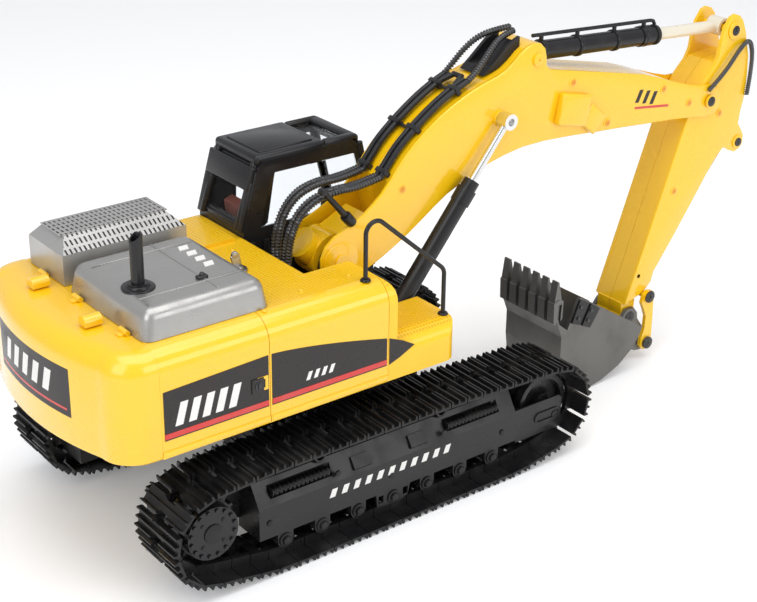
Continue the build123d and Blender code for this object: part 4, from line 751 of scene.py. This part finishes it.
def make_cab():
    """Thick roof frame, posts, rear wall and grab ribs."""
    bm = bmesh.new()
    block(bm, -19.5, 32.0, 23.5, 70.5, 196.5, 203.5, 2.6, 4)
    block(bm, 32.0, 57.0, 23.5, 30.2, 197.0, 203.0, 2.2, 3)
    block(bm, 32.0, 57.0, 65.8, 70.5, 197.0, 203.0, 2.2, 3)
    block(bm, 49.8, 58.0, 23.5, 70.5, 196.0, 202.6, 2.2, 3)
    block(bm, -14.0, 26.0, 29.0, 65.0, 203.0, 204.4, 0.8, 2)
    put("cab_roof", bm, cab_black, "house", 35)
    bm = bmesh.new()
    for a, b in (((-31.2, 27.5, 158), (-17.5, 27.5, 199)), ((-31.2, 66.5, 158), (-17.5, 66.5, 199))):
        bar(bm, a, b, 2.4, None, 16, 0.4)
    for y in (22.4, 71.6):
        bar(bm, (68.2, y, 112), (68.2, y, 148), 2.2, None, 16, 0.4)
        bar(bm, (68.2, y, 148), (56.8, y, 198), 2.2, None, 16, 0.4)
    for z in (160.4, 194.6):
        x = -30.4 + (z - 158) * 0.292
        bar(bm, (x, 26.5, z), (x, 67.5, z), 1.5, None, 14, 0.3)
    block(bm, -24.6, -20.6, 23.2, 70.8, 182.0, 197.0, 1.0, 3, -16.0)
    for y in (22.6, 66.0):
        block(bm, -28.6, -24.4, y, y + 6.0, 156.5, 188.0, 1.0, 3, -16.0)
    for y in (22.1, 70.6):
        quarter = [(-30.2, 158.5), (-20.8, 194.0), (-6.0, 194.0), (-7.5, 188.0), (-12.5, 160.0), (-15.5, 158.5)]
        plate(bm, quarter, y, y + 1.3, 0.4)
    put("cab_posts", bm, cab_black, "house", 35)
    bm = bmesh.new()
    for x in (-24.0, -14.0):
        block(bm, x - 2, x + 2, 20.8, 22.3, 120, 150, 0.5)
    put("cab_grab_ribs", bm, cab_black, "house", 35)


def make_undercarriage():
    """Spring coils, roller and sprocket bolts, and the bars on the track frames."""
    bm = bmesh.new()
    for side in BOTH_SIDES:
        for x in (-64.0, 65.0):
            run = [(x + step, side * 84.4, 47.9) for step in (-21.0, -7.0, 7.0, 21.0)]
            sleeve(bm, run, 3.1, 3.0, 1.3, 14)
    put("frame_coils", bm, track_black, "undercarriage", 60, ["frame_springs"])
    bm = bmesh.new()
    for side in BOTH_SIDES:
        for i in range(7):
            x = -77.2 + 26.2 * i
            bar_y(bm, x, 15.0, side * 89.4, side * 90.6, 2.9, 6, 0.3)
            bar_y(bm, x, 15.0, side * FRAME_SIDE, side * 89.0, 4.4, 28, 0.3)
        for x, z in ((-88, 30), (88, 30), (-40, 46), (0, 30), (40, 46)):
            bar_y(bm, x, z, side * 87.6, side * 88.8, 1.9, 16, 0.3)
        bar_y(bm, *SPROCKET, side * FRAME_SIDE, side * 89.3, 6.0, 32, 0.4)
        for turn in range(0, 360, 90):
            a = radians(turn + 45)
            x, z = SPROCKET[0] + 9.6 * cos(a), SPROCKET[1] + 9.6 * sin(a)
            bar_y(bm, x, z, side * 88.2, side * 89.0, 1.3, 12, 0.2)
    put("roller_bolts", bm, track_black, "undercarriage", 40)
    bm = bmesh.new()
    for side in BOTH_SIDES:
        slanted_bars(bm, -46.0, 8.6, 11, 4.0, 2.0, 31.0, 36.4, (side * FRAME_SIDE, side * (FRAME_SIDE + 0.12)))
    put("frame_marks", bm, pale, "undercarriage", 40)


make_hoses()
make_boom()
make_stick()
make_stick_cylinder()
side_decal()
rear_decal()
make_counterweight()
make_engine_hood()
make_house()
make_cab()
make_undercarriage()


# ------------------------------------------------------------------ stage

FLOOR_WHITE = (0.92, 0.92, 0.92)
paper = finish("floor_paper", FLOOR_WHITE, rough=0.6, dust=0.05, dust_color=FLOOR_WHITE, bump=0.0)
sheen = paper.node_tree.nodes["Principled BSDF"].inputs
sheen["Specular IOR Level"].default_value = 0.2
sheen["Emission Color"].default_value = (1, 1, 1, 1)
sheen["Emission Strength"].default_value = 0.16

bm = bmesh.new()
bmesh.ops.create_grid(bm, x_segments=2, y_segments=2, size=6.0, matrix=Matrix.Translation((0, 0, -0.0003)))
ground_mesh = bpy.data.meshes.new("floor")
bm.to_mesh(ground_mesh)
bm.free()
ground_mesh.materials.append(paper)
ground = bpy.data.objects.new("floor", ground_mesh)
bpy.context.collection.objects.link(ground)


def lamp(name, place, size, power):
    """A soft rectangle of light that faces the middle of the machine."""
    light = bpy.data.lights.new(name, "AREA")
    light.shape = "RECTANGLE"
    light.size, light.size_y = size
    light.energy = power
    holder = bpy.data.objects.new(name, light)
    holder.location = place
    holder.rotation_euler = (Vector((0, 0, 0.1)) - Vector(place)).to_track_quat("-Z", "Y").to_euler()
    bpy.context.collection.objects.link(holder)


lamp("top_softbox", (-0.1, -0.25, 1.5), (1.6, 1.2), 13)
lamp("left_softbox", (-1.3, -0.5, 0.9), (0.9, 1.1), 6.5)
lamp("front_softbox", (0.5, -1.4, 0.7), (1.1, 0.8), 5.5)
world = bpy.data.worlds.new("studio")
world.use_nodes = True
world.node_tree.nodes["Background"].inputs["Color"].default_value = (0.95, 0.96, 1.0, 1)
world.node_tree.nodes["Background"].inputs["Strength"].default_value = 0.62
bpy.context.scene.world = world

lens = bpy.data.cameras.new("camera")
lens.lens = 76.1
lens.sensor_width = 36.0
lens.clip_start = 0.01
camera = bpy.data.objects.new("camera", lens)
yaw, pitch, roll = radians(52.141), radians(25.050), radians(-0.778)
ahead = Vector((cos(yaw) * cos(pitch), sin(yaw) * cos(pitch), -sin(pitch)))
across = Vector((sin(yaw), -cos(yaw), 0))
down = ahead.cross(across)
across, down = across * cos(roll) + down * sin(roll), down * cos(roll) - across * sin(roll)
camera.matrix_world = Matrix.Translation(at(-513.8, -733.7, 531.0)) @ Matrix(
    (across, -down, -ahead)).transposed().to_4x4()
bpy.context.collection.objects.link(camera)
bpy.context.scene.camera = camera
bpy.context.view_layer.update()
bpy.context.scene.view_settings.view_transform = "Standard"
